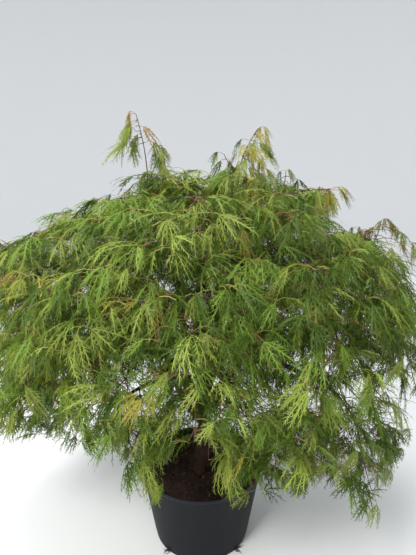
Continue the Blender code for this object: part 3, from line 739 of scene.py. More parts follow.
def root_material():
    """Dried roots: dull brown threads, in patches of 3 mm."""
    material, tree, shader = new_material("dried roots", {"Roughness": 0.9})
    spot = add_node(tree, "ShaderNodeTexCoord").outputs["Object"]
    patches = add_node(tree, "ShaderNodeTexNoise", {"Vector": spot, "Scale": 300.0})
    paint(tree, shader, patches.outputs["Fac"],
          ((0.35, linear("#1E120C")), (0.65, linear("#4A3022"))))
    return material


def soil_height(x, y, lump):
    """Height of the soil at a spot: level at the trunk, lower at the wall, and lumpy."""
    reach = math.hypot(x, y) / SOIL_RADIUS
    height = sum(share * noise.noise(Vector((x, y, layer)) * waves)
                 for layer, waves, share in LUMPS)
    return SOIL_LEVEL - SOIL_EDGE_DROP * reach ** 2 + lump * (height - LUMP_SINK) * LUMP_SHARE


def build_soil(settings):
    """Lumpy filling, closed underneath."""
    bm = bmesh.new()
    middle = bm.verts.new((0.0, 0.0, soil_height(0.0, 0.0, settings.lump)))
    edge = wall_radius(SOIL_LEVEL) - POT_WALL - GAP
    angles = [math.tau * segment / SOIL_SEGMENTS for segment in range(SOIL_SEGMENTS)]
    spokes = [(math.cos(angle), math.sin(angle)) for angle in angles]
    rings = []
    for ring in range(1, SOIL_RINGS + 1):
        radius = edge * ring / SOIL_RINGS
        spots = [(radius * x, radius * y) for x, y in spokes]
        rings.append([bm.verts.new((x, y, soil_height(x, y, settings.lump))) for x, y in spots])
    lower = wall_radius(SOIL_UNDERSIDE) - POT_WALL - GAP
    rings.append([bm.verts.new((lower * x, lower * y, SOIL_UNDERSIDE)) for x, y in spokes])
    for first, second in around(rings[0]):
        bm.faces.new((middle, first, second))
    join_rings(bm, rings, turned=True)
    bm.faces.new(rings[-1][::-1])
    bmesh.ops.recalc_face_normals(bm, faces=bm.faces)
    soil = link_object("potting_soil", take_mesh("potting_soil", bm), peat_material(settings))
    shade(soil, SOIL_EDGE)
    dress(soil, "potting_soil", "soil")


def chip_meshes(length):
    """A few flakes of bark, thin and ragged, that are strewn on the soil."""
    rng = random.Random(CHIP_SEED)
    meshes = []
    for index in range(CHIP_FORMS):
        bm = bmesh.new()
        bmesh.ops.create_icosphere(bm, subdivisions=1, radius=0.5)
        wide = rng.uniform(*CHIP_WIDTHS)
        flat = rng.uniform(*CHIP_THICKNESSES)
        for vert in bm.verts:
            rags = noise.noise(vert.co * CHIP_RAGS + Vector((index * CHIP_STEP, 0.0, 0.0)))
            ragged = 1.0 + CHIP_RAGGEDNESS * rags
            vert.co = Vector((vert.co.x, vert.co.y * wide, vert.co.z * flat)) * ragged * length
        meshes.append(take_mesh(f"flake {index}", bm))
    return meshes


def strewing_tree():
    """Tree that strews flakes over a surface, laid flat or tipped a little."""
    tree, given, out = new_tree("strew flakes", (
        ("Flakes", "NodeSocketCollection"), ("Density", "NodeSocketFloat"),
        ("Seed", "NodeSocketInt"), ("Material", "NodeSocketMaterial")))
    spots = add_node(tree, "GeometryNodeDistributePointsOnFaces",
                     {"Mesh": given["Geometry"], "Density": given["Density"],
                      "Seed": given["Seed"]})
    flakes = add_node(tree, "GeometryNodeCollectionInfo",
                      {"Collection": given["Flakes"], "Separate Children": True,
                       "Reset Children": True})
    turn = add_node(tree, "FunctionNodeRandomValue",
                    {0: (-CHIP_TILT, -CHIP_TILT, 0.0), 1: (CHIP_TILT, CHIP_TILT, math.tau),
                     "Seed": given["Seed"]}, data_type="FLOAT_VECTOR")
    size = add_node(tree, "FunctionNodeRandomValue",
                    {2: CHIP_SIZES[0], 3: CHIP_SIZES[1], "Seed": given["Seed"]},
                    data_type="FLOAT")
    laid = add_node(tree, "GeometryNodeInstanceOnPoints",
                    {"Points": spots.outputs["Points"], "Instance": flakes.outputs["Instances"],
                     "Pick Instance": True, "Rotation": turn.outputs["Value"],
                     "Scale": size.outputs[1]})
    close_tree(tree, laid.outputs["Instances"], given["Material"], out)
    return tree


def build_chips(settings):
    """Loose bark chips on the soil, in three ages."""
    flakes = gather_forms("bark flake", chip_meshes(settings.chip))
    tree = strewing_tree()
    radius = (wall_radius(SOIL_LEVEL) - POT_WALL) * CHIP_EDGE
    for index, (name, code, share, lift) in enumerate(CHIP_KINDS):
        bm = bmesh.new()
        bmesh.ops.create_grid(bm, x_segments=CHIP_GRID, y_segments=CHIP_GRID, size=radius)
        outside = [vert for vert in bm.verts if math.hypot(vert.co.x, vert.co.y) > radius]
        bmesh.ops.delete(bm, geom=outside, context="VERTS")
        for vert in bm.verts:
            vert.co.z = soil_height(vert.co.x, vert.co.y, settings.lump) + lift
        material = chip_material(name.replace("_", " "), code)
        chips = link_object(name, take_mesh(name, bm), material)
        grow_with(chips, tree, Flakes=flakes, Density=settings.density * share,
                  Seed=settings.seed + index, Material=material)
        dress(chips, "potting_soil")
    remove_forms(flakes)


# ---------------------------------------------------------------- bark

BARK_STEPS = 72
TRUNK_SIDES = 32
BOUGH_SIDES = 14
PRUNED_SIDES = 28
BARK_EDGE = 70
THIN_BARK_SHARE = 0.35            # relief on a bough, as a share of the trunk's
COLLAR = 0.0022                   # swelling where a bough leaves its parent
COLLAR_LENGTH = 0.02
FURROWS = Vector((260.0, 260.0, 28.0))  # for each metre across a limb, and along it
FURROW_SHARE = 0.7
SWELLS = 55.0
SWELL_SHARE = 0.9
# Rings of the healing bark round the sawn face: share of the limb's radius, and rise.
CUT_LIP = ((0.90, 0.0006), (0.80, 0.0002), (0.76, -0.0006))
CUT_SINK = 0.0004                 # depth of the face's middle


def bark_material(settings):
    """Old maple bark: smooth grey-brown skin with pale lengthwise streaks and fine cracks.
    The grain attribute runs along each limb, so the streaks do too."""
    material, tree, shader = new_material("maple bark",
                                          {"Roughness": 0.85, "Specular IOR Level": 0.25})
    grain = add_node(tree, "ShaderNodeAttribute", attribute_name="grain").outputs["Vector"]
    # The streaks are 3 mm wide and 30 mm long, drawn at twice that so that they show.
    drawn = add_node(tree, "ShaderNodeMapping", {"Vector": grain, "Scale": (1.0, 1.0, 0.10)})
    streaks = add_node(tree, "ShaderNodeTexNoise",
                       {"Vector": drawn.outputs["Vector"], "Scale": 170.0, "Detail": 6.0})
    patches = add_node(tree, "ShaderNodeTexNoise", {"Vector": grain, "Scale": 35.0, "Detail": 3.0})
    mixed = add_node(tree, "ShaderNodeMath",
                     {0: streaks.outputs["Fac"], 1: patches.outputs["Fac"]}, operation="ADD")
    paint(tree, shader, mixed.outputs["Value"],
          ((0.80, settings.crack), (0.97, settings.colour), (1.00, scaled(settings.colour, 1.3))),
          streaks.outputs["Fac"], strength=0.6, depth=0.0006)
    return material


def wood_material():
    """Sawn maple end grain: pale tan wood that has dried. Its rings are 1.2 mm apart, drawn
    at 2.4 mm so that they show."""
    material, tree, shader = new_material("sawn maple end grain", {"Roughness": 0.72})
    across = add_node(tree, "ShaderNodeAttribute", attribute_name="grain").outputs["Vector"]
    rings = add_node(tree, "ShaderNodeTexWave",
                     {"Vector": across, "Scale": 130.0, "Distortion": 2.0, "Detail": 2.0},
                     wave_type="RINGS", rings_direction="Z")
    paint(tree, shader, rings.outputs["Fac"],
          ((0.0, linear("#C79A68")), (1.0, linear("#E4C598"))))
    return material


def flare_width(height, angle):
    """How far the root flare stands out: toes that fade out above the soil."""
    fade = math.exp(-max(height, 0.0) / FLARE_HEIGHT)
    toes = math.cos(FLARE_TOES * angle)
    return FLARE_WIDTH * fade * (1.0 - FLARE_TOE_DEPTH + FLARE_TOE_DEPTH * toes)


def skin_limb(bm, limb, sides, relief, flared=False, collar=0.0):
    """Bark tube with furrows, closed at its foot, and its last ring. The grain layer keeps
    where each point lies on the limb: across it in X and Y, and along it in Z."""
    layer = bm.verts.layers.float_vector["grain"]
    directions = headings(limb.points)
    across = directions[0].orthogonal().normalized()
    shift = Vector((0.0, 0.0, sum(limb.points[-1])))
    travelled = 0.0
    rings = []
    for index, (point, direction) in enumerate(zip(limb.points, directions)):
        across = (across - direction * across.dot(direction)).normalized()
        other = direction.cross(across)
        if index:
            travelled += (point - limb.points[index - 1]).length
        ring = []
        for side in range(sides):
            angle = math.tau * side / sides
            radius = limb.radii[index] + collar * math.exp(-travelled / COLLAR_LENGTH)
            if flared:
                radius += flare_width(point.z - limb.points[0].z, angle)
            spot = Vector((math.cos(angle) * radius, math.sin(angle) * radius, travelled)) + shift
            radius += relief * (FURROW_SHARE * noise.noise(spot * FURROWS)
                                + SWELL_SHARE * noise.noise(spot * SWELLS))
            spoke = across * math.cos(angle) + other * math.sin(angle)
            vert = bm.verts.new(point + spoke * radius)
            vert[layer] = spot
            ring.append(vert)
        rings.append(ring)
    join_rings(bm, rings)
    bm.faces.new(rings[0][::-1])
    return rings[-1]


def bark_bmesh():
    """Empty bmesh whose verts keep the grain."""
    bm = bmesh.new()
    bm.verts.layers.float_vector.new("grain")
    return bm


def finish_bark(name, bm, materials, nodes):
    """Bark piece that stands for its CAD nodes."""
    item = link_object(name, take_mesh(name, bm), *materials)
    shade(item, BARK_EDGE)
    dress(item, "bark", *nodes)


def build_bark(settings):
    """Trunk, boughs and the pruned limb, in bark with relief."""
    material = bark_material(settings)
    limbs = all_limbs(BARK_STEPS)
    bm = bark_bmesh()
    bm.faces.new(skin_limb(bm, limbs["trunk"], TRUNK_SIDES, settings.relief, flared=True))
    finish_bark("trunk_bark", bm, [material], ["trunk"])

    relief = settings.relief * THIN_BARK_SHARE
    bm = bark_bmesh()
    for row in ROWS:
        collar = 0.0 if row.along == 1.0 else COLLAR
        bm.faces.new(skin_limb(bm, limbs[row.name], BOUGH_SIDES, relief, collar=collar))
    finish_bark("bough_bark", bm, [material], BOUGH_NODES)

    bm = bark_bmesh()
    rim = skin_limb(bm, limbs["pruned"], PRUNED_SIDES, relief, collar=COLLAR)
    add_cut_face(bm, limbs["pruned"], rim)
    finish_bark("pruned_limb_bark", bm, [material, wood_material()], ["pruned_limb"])


def add_cut_face(bm, limb, rim):
    """End of the pruned limb: a lip of healing bark round a sawn face."""
    layer = bm.verts.layers.float_vector["grain"]
    middle = limb.points[-1]
    heading = headings(limb.points)[-1]
    rings = [rim]
    for share, rise in CUT_LIP:
        ring = []
        for vert in rim:
            made = bm.verts.new(middle + (vert.co - middle) * share + heading * rise)
            made[layer] = vert[layer]
            ring.append(made)
        rings.append(ring)
    join_rings(bm, rings)
    centre = bm.verts.new(middle - heading * CUT_SINK)
    for first, second in around(rings[-1]):
        bm.faces.new((first, second, centre)).material_index = 1
    across = heading.orthogonal().normalized()
    for vert in (*rings[-1], centre):
        away = vert.co - middle
        vert[layer] = Vector((away.dot(across), away.dot(heading.cross(across)), 0.0))


# ---------------------------------------------------------------- room for the foliage

# Where someone in front sees the plant from, and the heights of the crown's upper and lower
# edges as that eye sees them, at places across the upright plane through the pot's axis.
EYE = Vector((0.015, -0.955, 0.845))
UPPER_EDGE = (
    (-0.42, 0.665), (-0.36, 0.725), (-0.32, 0.75), (-0.255, 0.76), (-0.20, 0.79),
    (-0.14, 0.81), (-0.10, 0.84), (-0.055, 0.855), (0.01, 0.855), (0.045, 0.87), (0.09, 0.87),
    (0.18, 0.85), (0.23, 0.825), (0.26, 0.785), (0.275, 0.725), (0.31, 0.725), (0.38, 0.745),
    (0.445, 0.705),
)
LOWER_EDGE = (
    (-0.465, 0.215), (-0.395, 0.23), (-0.275, 0.19), (-0.255, 0.125), (-0.225, 0.13),
    (-0.205, 0.18), (-0.185, 0.065), (-0.135, 0.035), (-0.10, 0.045), (-0.08, 0.15),
    (-0.05, 0.205), (0.005, 0.20), (0.03, 0.095), (0.075, 0.045), (0.145, 0.075),
    (0.25, 0.045), (0.28, 0.115), (0.345, 0.02), (0.38, -0.05), (0.43, -0.02), (0.45, 0.13),
    (0.47, 0.145), (0.49, 0.255),
)
CUT_FACE_CLEARANCE = 0.009        # leaves leave the sawn face open to the eye this wide
REACH_PAD = 0.02                  # leaves may reach this far out of the solids' box
DOME_SKIN = 1.02                  # leaves may reach this far out in the dome
DOME_DIPS = 0.10
DIP_WAVES = 7.0                   # dips and bulges for each metre
DIP_SHIFT = Vector((3.1, 0.0, 0.0))
SLACK_SCALE = 2.0                 # a metre is about this much of the dome's measure
THIN_SCALE = 4.0                  # gaps in the foliage are about a quarter of a metre apart
THIN_DRAW = 0.5                   # and drawn out from front to back by one over this
THIN_SHIFT = Vector((-13.6, -16.4, -16.4))
THIN_LEVEL = 0.30
THIN_FOOT = 0.30                  # the hanging skirt's foot has no gaps
OPEN_SHARE = 0.26                 # the right side is more open than the left


class Room:
    """Where one mass may grow: nearer to its own middle than to any other mass's,
    and off the limbs."""

    def __init__(self, home, others, limbs, lowest):
        self.home = np.array(home)
        self.lowest = lowest
        away = np.array([np.array(other) - self.home for other in others])
        distances = np.linalg.norm(away, axis=1)
        self.walls = away / distances[:, None]
        self.offsets = distances / 2
        pieces = [piece for limb in limbs
                  for piece in zip(limb.points, limb.points[1:], limb.radii)]
        self.starts, ends, self.radii = (np.array(values) for values in zip(*pieces))
        self.spans = ends - self.starts

    def off_limbs(self, points):
        """True if every point keeps its distance from the limbs."""
        steps = np.array(points)[:, None, :] - self.starts
        lengths = (self.spans ** 2).sum(axis=1)
        shares = np.clip((steps * self.spans).sum(axis=2) / lengths, 0.0, 1.0)
        nearest = steps - shares[:, :, None] * self.spans
        distances = np.linalg.norm(nearest, axis=2)
        return bool((distances >= self.radii + LIMB_MARGIN).all())


def dome_measure(points):
    """How far out the points lie: 0 in the middle of the dome's foot and 1 on its skin."""
    spots = np.array(points)
    width = np.hypot(spots[:, 0], spots[:, 1] / CROWN_DEPTH) / CROWN_RADIUS
    height = np.maximum(spots[:, 2] - CROWN_WAIST, 0.0) / (CROWN_TOP - CROWN_WAIST)
    power = CROWN_SHOULDER_POWER
    return (width ** power + height ** power) ** (1.0 / power)


def dome_limit(point, slack):
    """How far out leaves may reach near a spot: the dome has dips and bulges."""
    dips = noise.noise(point * DIP_WAVES + DIP_SHIFT)
    return DOME_SKIN + SLACK_SCALE * slack + DOME_DIPS * dips


def within_edges(points, slack=0.0):
    """True if every point shows between the crown's edges, give or take a slack, to the
    eye in front."""
    spots = np.array(points)
    shares = EYE.y / (EYE.y - spots[:, 1])
    across = EYE.x + (spots[:, 0] - EYE.x) * shares
    heights = EYE.z + (spots[:, 2] - EYE.z) * shares
    upper = np.interp(across, *zip(*UPPER_EDGE))
    lower = np.interp(across, *zip(*LOWER_EDGE))
    return bool(((heights <= upper + slack) & (heights >= lower - slack)).all())


def within_reach(points):
    """True if every point lies in the plant's own box, give or take a little."""
    spots = np.array(points)
    low, high = (np.array(corner) for corner in CAD_BOX)
    return bool(((spots >= low - REACH_PAD) & (spots <= high + REACH_PAD)).all())


def off_cut_face(points):
    """True if no point comes between the eye in front and the sawn face."""
    line = np.array(pruned_face() - EYE)
    length = np.linalg.norm(line)
    steps = np.array(points) - np.array(EYE)
    reach = steps @ line / length
    away = np.linalg.norm(steps - reach[:, None] * line / length, axis=1)
    return not bool(((reach < length) & (away < CUT_FACE_CLEARANCE)).any())


def off_pot(points):
    """True if every point is above the lowest tips and clear of the pot."""
    spots = np.array(points)
    radius = np.hypot(spots[:, 0], spots[:, 1])
    beside = radius >= POT_RIM_RADIUS + POT_MARGIN
    above = spots[:, 2] >= POT_HEIGHT + POT_MARGIN
    return bool(((beside | above) & (spots[:, 2] >= CROWN_FOOT)).all())


def thinned(spot):
    """True where the foliage has a gap: gaps run from front to back, more on the right."""
    sample = Vector((spot[0], spot[1] * THIN_DRAW, spot[2])) * THIN_SCALE + THIN_SHIFT
    least = THIN_LEVEL - OPEN_SHARE * spot[0] / CROWN_RADIUS
    return spot[2] > THIN_FOOT and noise.noise(sample) > least


def skirt_foot(turn):
    """Height of the lowest leaves on one side of the plant."""
    def turned_away(row):
        return abs((row.turn - turn + 180) % 360 - 180)
    nearest = min((row for row in ROWS if row.name.startswith("skirt")), key=turned_away)
    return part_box(f"foliage_{nearest.name}")[0].z - LEAF_DROP


def mass_middle(row):
    """Middle of a mass, which the borders between masses are drawn from."""
    root = place(row.turn, row.reach, row.rise)
    end = place(row.turn, row.out, row.end)
    return root.lerp(end, MASS_MIDDLE_SHARE) - UP * MASS_HANG


# ---------------------------------------------------------------- leaf forms

# Angle in degrees and length of each lobe.
LOBES = ((-76, 0.52), (-50, 0.76), (-24, 0.94), (0, 1.0), (24, 0.94), (50, 0.76), (76, 0.52))
MIDDLE_LOBE = 3
LOBE_STEPS = 6
LOBE_HALF_WIDTHS = (0.006, 0.010, 0.014, 0.015, 0.013, 0.008)
LOBE_STRAY = 9.0                  # degrees
LOBE_LIFT = (-0.30, 0.22)         # how far lobes lie out of the palm's plane
LOBE_LENGTHS = (0.84, 1.10)
LOBE_DROOPS = (0.7, 1.3)
LOBE_ROLL = 0.9                   # how far a lobe may turn about its own middle line
TOOTH_LENGTHS = (0.0, 0.13, 0.19, 0.20, 0.17, 0.11)
TOOTH_SIZES = (0.65, 1.25)
TOOTH_LEAST = 0.35                # teeth don't shrink below this share with a short lobe
TOOTH_ANGLES = (46.0, 26.0)       # degrees off the lobe, near the palm and near the tip
TOOTH_STRAY = 7.0
TOOTH_DROP = 0.15
TOOTH_SHIFT = 0.5                 # as a share of the distance between teeth
TOOTH_FOOT = 0.036                # width of a tooth where it leaves the lobe
STALK_SHARE = 0.40                # a leaf's stalk, as a share of its length
STALK_BEND = (0.45, 0.14)         # how far along and how high the stalk's middle and end lie,
STALK_END = (0.9, 0.06)           # as shares of its length
STALK_THICKNESS = 0.008
STALK_SIDES = 3

# Slope of a leaf's palm in degrees below level, how far its lobes droop beyond it, and how
# wide they fan out.
LEAF_FORMS = (
    (-8, 0.8, 0.82), (4, 1.1, 0.76), (16, 1.4, 0.70),
    (22, 1.1, 0.66), (32, 1.4, 0.60), (42, 1.7, 0.54),
    (50, 1.4, 0.50), (62, 1.8, 0.45), (74, 2.2, 0.40),
)
YOUNG_FORMS = ((35, 2.8, 0.42), (65, 2.6, 0.38))
FORM_SEED = 5
SPREAD, HALF, HANGING, YOUNG = (0, 1, 2), (3, 4, 5), (6, 7, 8), (9, 10)

# Meshes of a leaf's blade and stalk, and where its palm and the tips of its lobes lie.
LeafForm = namedtuple("LeafForm", "blade stalk tips")


def stray(rng, most):
    """A chance value, at most this far to either side of nothing."""
    return rng.uniform(-most, most)


def droop_line(start, heading, length, droop):
    """Middle line of a lobe that bends down under its own weight."""
    points = [start]
    for step in range(LOBE_STEPS):
        share = (step + 0.5) / LOBE_STEPS
        way = (heading - UP * droop * share).normalized()
        points.append(points[-1] + way * length / LOBE_STEPS)
    return points


def add_lobe(bm, points, across, length, rng):
    """Ribbon along a lobe's middle line, with pairs of teeth that point forward."""
    ways = headings(points)
    pairs = [(bm.verts.new(point + across * half), bm.verts.new(point - across * half))
             for point, half in zip(points, LOBE_HALF_WIDTHS)]
    tip = bm.verts.new(points[-1])
    for (left, right), (next_left, next_right) in zip(pairs, pairs[1:]):
        bm.faces.new((left, right, next_right, next_left))
    bm.faces.new((*pairs[-1], tip))
    for step in range(1, LOBE_STEPS):
        share = (step - 1) / (LOBE_STEPS - 2)
        lean = TOOTH_ANGLES[0] + (TOOTH_ANGLES[1] - TOOTH_ANGLES[0]) * share
        longest = TOOTH_LENGTHS[step] * (TOOTH_LEAST + (1.0 - TOOTH_LEAST) * length)
        for edge, side in zip(pairs[step], (1.0, -1.0)):
            angle = math.radians(lean + stray(rng, TOOTH_STRAY))
            reach = longest * rng.uniform(*TOOTH_SIZES)
            way = ways[step] * math.cos(angle) + across * side * math.sin(angle) - UP * TOOTH_DROP
            root = edge.co + ways[step] * stray(rng, TOOTH_SHIFT) * length / LOBE_STEPS
            foot = bm.verts.new(root)
            front = bm.verts.new(root + ways[step] * TOOTH_FOOT)
            point = bm.verts.new(root + way * reach)
            bm.faces.new((foot, point, front) if side > 0 else (foot, front, point))


def make_stalk(name, points):
    """Closed thin tube along a leaf's stalk."""
    bm = bmesh.new()
    rings = []
    for point in points:
        ring = []
        for side in range(STALK_SIDES):
            angle = math.tau * side / STALK_SIDES
            spoke = Vector((0.0, math.cos(angle), math.sin(angle)))
            ring.append(bm.verts.new(point + spoke * STALK_THICKNESS))
        rings.append(ring)
    join_rings(bm, rings)
    bm.faces.new(rings[0][::-1])
    bm.faces.new(rings[-1])
    return take_mesh(name, bm)


def make_form(index, slope, droop, fan, rng):
    """One leaf of length 1 with its stalk, as it hangs when it points along +X."""
    bend, palm = (Vector((STALK_SHARE * ahead, 0.0, STALK_SHARE * rise))
                  for ahead, rise in (STALK_BEND, STALK_END))
    pitch = math.radians(slope)
    forward = Vector((math.cos(pitch), 0.0, -math.sin(pitch)))
    facing = Vector((math.sin(pitch), 0.0, math.cos(pitch)))
    sideways = Vector((0.0, 1.0, 0.0))
    bm = bmesh.new()
    tips = [palm]
    for turn, share in LOBES:
        angle = math.radians(turn * fan + stray(rng, LOBE_STRAY))
        heading = forward * math.cos(angle) + sideways * math.sin(angle)
        heading = (heading + facing * rng.uniform(*LOBE_LIFT)).normalized()
        length = share * rng.uniform(*LOBE_LENGTHS)
        points = droop_line(palm, heading, length, droop * rng.uniform(*LOBE_DROOPS))
        across = facing.cross(heading).normalized()
        across = (across + facing * stray(rng, LOBE_ROLL)).normalized()
        add_lobe(bm, points, across, length, rng)
        tips.append(points[-1])
    blade = take_mesh(f"blade {index:02d}", bm)
    stalk = make_stalk(f"stalk {index:02d}", (Vector((0.0, 0.0, 0.0)), bend, palm))
    return LeafForm(blade, stalk, tips)


def leaf_forms():
    """Every form of leaf, from well spread to hanging, and then the young ones."""
    rng = random.Random(FORM_SEED)
    return [make_form(index, *form, rng) for index, form in enumerate(LEAF_FORMS + YOUNG_FORMS)]


# ---------------------------------------------------------------- growth

Leaf = namedtuple("Leaf", "point turn pitch roll size form tint")

# The least light that each tint needs, the lightest first. This light is painted into the tints as
# painted shade, deeper in the crown and to the right.
TINT_LEVELS = (("bronze", 1.37), ("gold", 1.29), ("spring", 1.16), ("olive", 1.00),
               ("green", 0.74))
TINT_SPREAD = 0.42
GOLDEN_SHARE = 0.618034           # its multiples' fractions fall evenly between 0 and 1
# Painted shade: the tints darken to the right, as if the light fell from the left.
SIDE_SHADE = 0.15                 # how much darker the leaves get for each metre to the right
STRAY_TINT = 0.40                 # share of a spray's leaves that differ a little from the rest
STRAY_TINTS = {"deep": ("green", "olive"), "green": ("deep", "deep", "olive"),
               "olive": ("green", "deep"), "spring": ("green", "olive"),
               "gold": ("spring", "olive"), "bronze": ("olive",)}

LEAF_SHRINKS = (1.0, 0.92, 0.84, 0.74)  # sizes that a leaf is tried at
HANG_STRAY = 0.5
HANGING_FROM = 0.80               # leaves that droop more than this hang
HALF_FROM = 0.42
LEAF_TURN = 28.0                  # degrees
LEAF_PITCH = (-20.0, 16.0)
LEAF_ROLL = 34.0
PAIR_TURNS = (30.0, 75.0)         # degrees between a twig and the leaves of a pair
PAIR_SIZES = (0.80, 1.10)
END_SIZES = (0.85, 1.10)

SEED_STEP = 100                   # between the seeds of one foliage and the next
LIMB_STEPS = 24
COARSE_STEPS = 6                  # of the limbs that leaves keep clear of
STEM_STEPS = 14
STEM_LEAST = 7                    # points that a stem keeps when it is cut short
STEM_COVER = 0.03                 # leaves cover a stem at least this deep
STEM_HANG = 0.5
BOUGH_PLACES = 9                  # a bough's last points, which twigs may leave from
SIDE_TWIG_STEPS = 6
SIDE_TWIG_LENGTHS = (0.4, 0.7)
SIDE_TWIG_RISE = (-0.3, 0.6)
SIDE_TWIG_FORWARD = 0.6
SIDE_TWIG_WOBBLE = 0.08
SIDE_TWIG_RADII = (0.0020, 0.0010)

TWIG_LEAST = 3                    # points that a twig has at least
BEND_COST = 1.6                   # the lower it is, the less twigs bend and the longer they grow
LEAVING_STEPS = 3                 # bends of a twig that may still lie against its parent
TWIG_COVER = 0.012                # leaves cover a twig at least this deep
TWIG_DEPTH = 0.97                 # twigs end this far out in the dome
TIP_DEPTH = 0.96
INNER_DEPTH = 0.30                # no sprays lie further in than this
INNER_THINNING = 1.2              # sprays stand this much further apart in the middle
TIP_PAD = 0.05
TIP_LIFT = 0.034                  # a spray's tip lies this far above its mass's lowest leaf
TIP_TRIES = 8000

SPRAY_STEP = 0.013                # distance between the bends of a fine twig
SPRAY_LEAVING = (0.7, 0.8, 0.3)   # along its parent, towards its tip, and up
SPRAY_ARRIVING = (0.6, 0.7, 0.6)  # outwards, towards its tip, and down for each hang
SPRAY_REACH = 0.35
SPRAY_SLACK = (-0.030, 0.025)     # how far a spray may reach past the crown's edges
SPRAY_PAIRS = (2, 4, 6)           # points back from the tip that bear a pair of leaves
SPRAY_HANG = (0.15, 0.60)         # at the top, and how much more lower down
SPRAY_RADII = (0.0006, 0.0005)    # at the root of a very short twig, and at its tip
SPRAY_GIRTH = 0.0045              # how much thicker the root gets for each metre

SHOOT_STEP = 0.011                # distance between the leaf pairs of a shoot
SHOOT_BENDS = (0.33, 0.67)        # places along a shoot that it bows at
SHOOT_RADII = (0.0017, 0.0007)
SHOOT_TINTED = 0.6
SHOOT_SIZES = (1.05, 0.42)        # of the lowest leaves, and how much smaller at the tip
SHOOT_TURNS = (0.6, 1.9)
SHOOT_RISE = (-0.2, 0.6)
SHOOT_TIP_SIZE = 0.55
FINE_STEPS = 3
FINE_LEAST = 0.006                # length of the fine twigs next to a shoot's tip
FINE_BEARING = 0.018              # fine twigs that are longer than this bear three leaves
FINE_SAG = 1.0
FINE_WOBBLE = 0.10
FINE_RADII = (0.0008, 0.0005)
FINE_HANG = 1.0
YOUNG_HANG = 0.9
YOUNG_FROM = 0.4                  # share of a shoot's leafy end that young leaves start at


def weeping_path(start, heading, length, steps, sag, wobble, rng):
    """Twig that leaves along its heading and then bends down under its own weight."""
    points = [start]
    way = heading.copy()
    for step in range(steps):
        aside = Vector([stray(rng, 1.0) for _ in range(3)])
        pull = sag * 2.0 * (step + 1) / (steps * (steps + 1))
        way = (way - UP * pull + aside * wobble).normalized()
        points.append(points[-1] + way * length / steps)
    return points


class Places:
    """Places on a mass's twigs that finer twigs may leave from."""

    def __init__(self):
        self.points = []
        self.ways = []
        self.owners = []          # which twig each place is on, and its step there
        self.in_use = {}          # the last step of each twig that bears another twig

    def add(self, path, owner=None):
        """Take in a twig's places, all but its tip."""
        self.points.extend(path[:-1])
        self.ways.extend(headings(path)[:-1])
        self.owners.extend((owner, step) for step in range(len(path) - 1))

    def use(self, index):
        """Note that a twig leaves from a place."""
        owner, step = self.owners[index]
        self.in_use[owner] = max(step, self.in_use.get(owner, 0))

    def nearest(self, spot):
        """Index of the place from which a twig to a spot is short and has to bend little."""
        steps = np.array(spot) - np.array(self.points)
        lengths = np.maximum(np.linalg.norm(steps, axis=1), 1e-6)
        along_way = (steps * np.array(self.ways)).sum(axis=1) / lengths
        return int(np.argmin(lengths * (BEND_COST - along_way)))


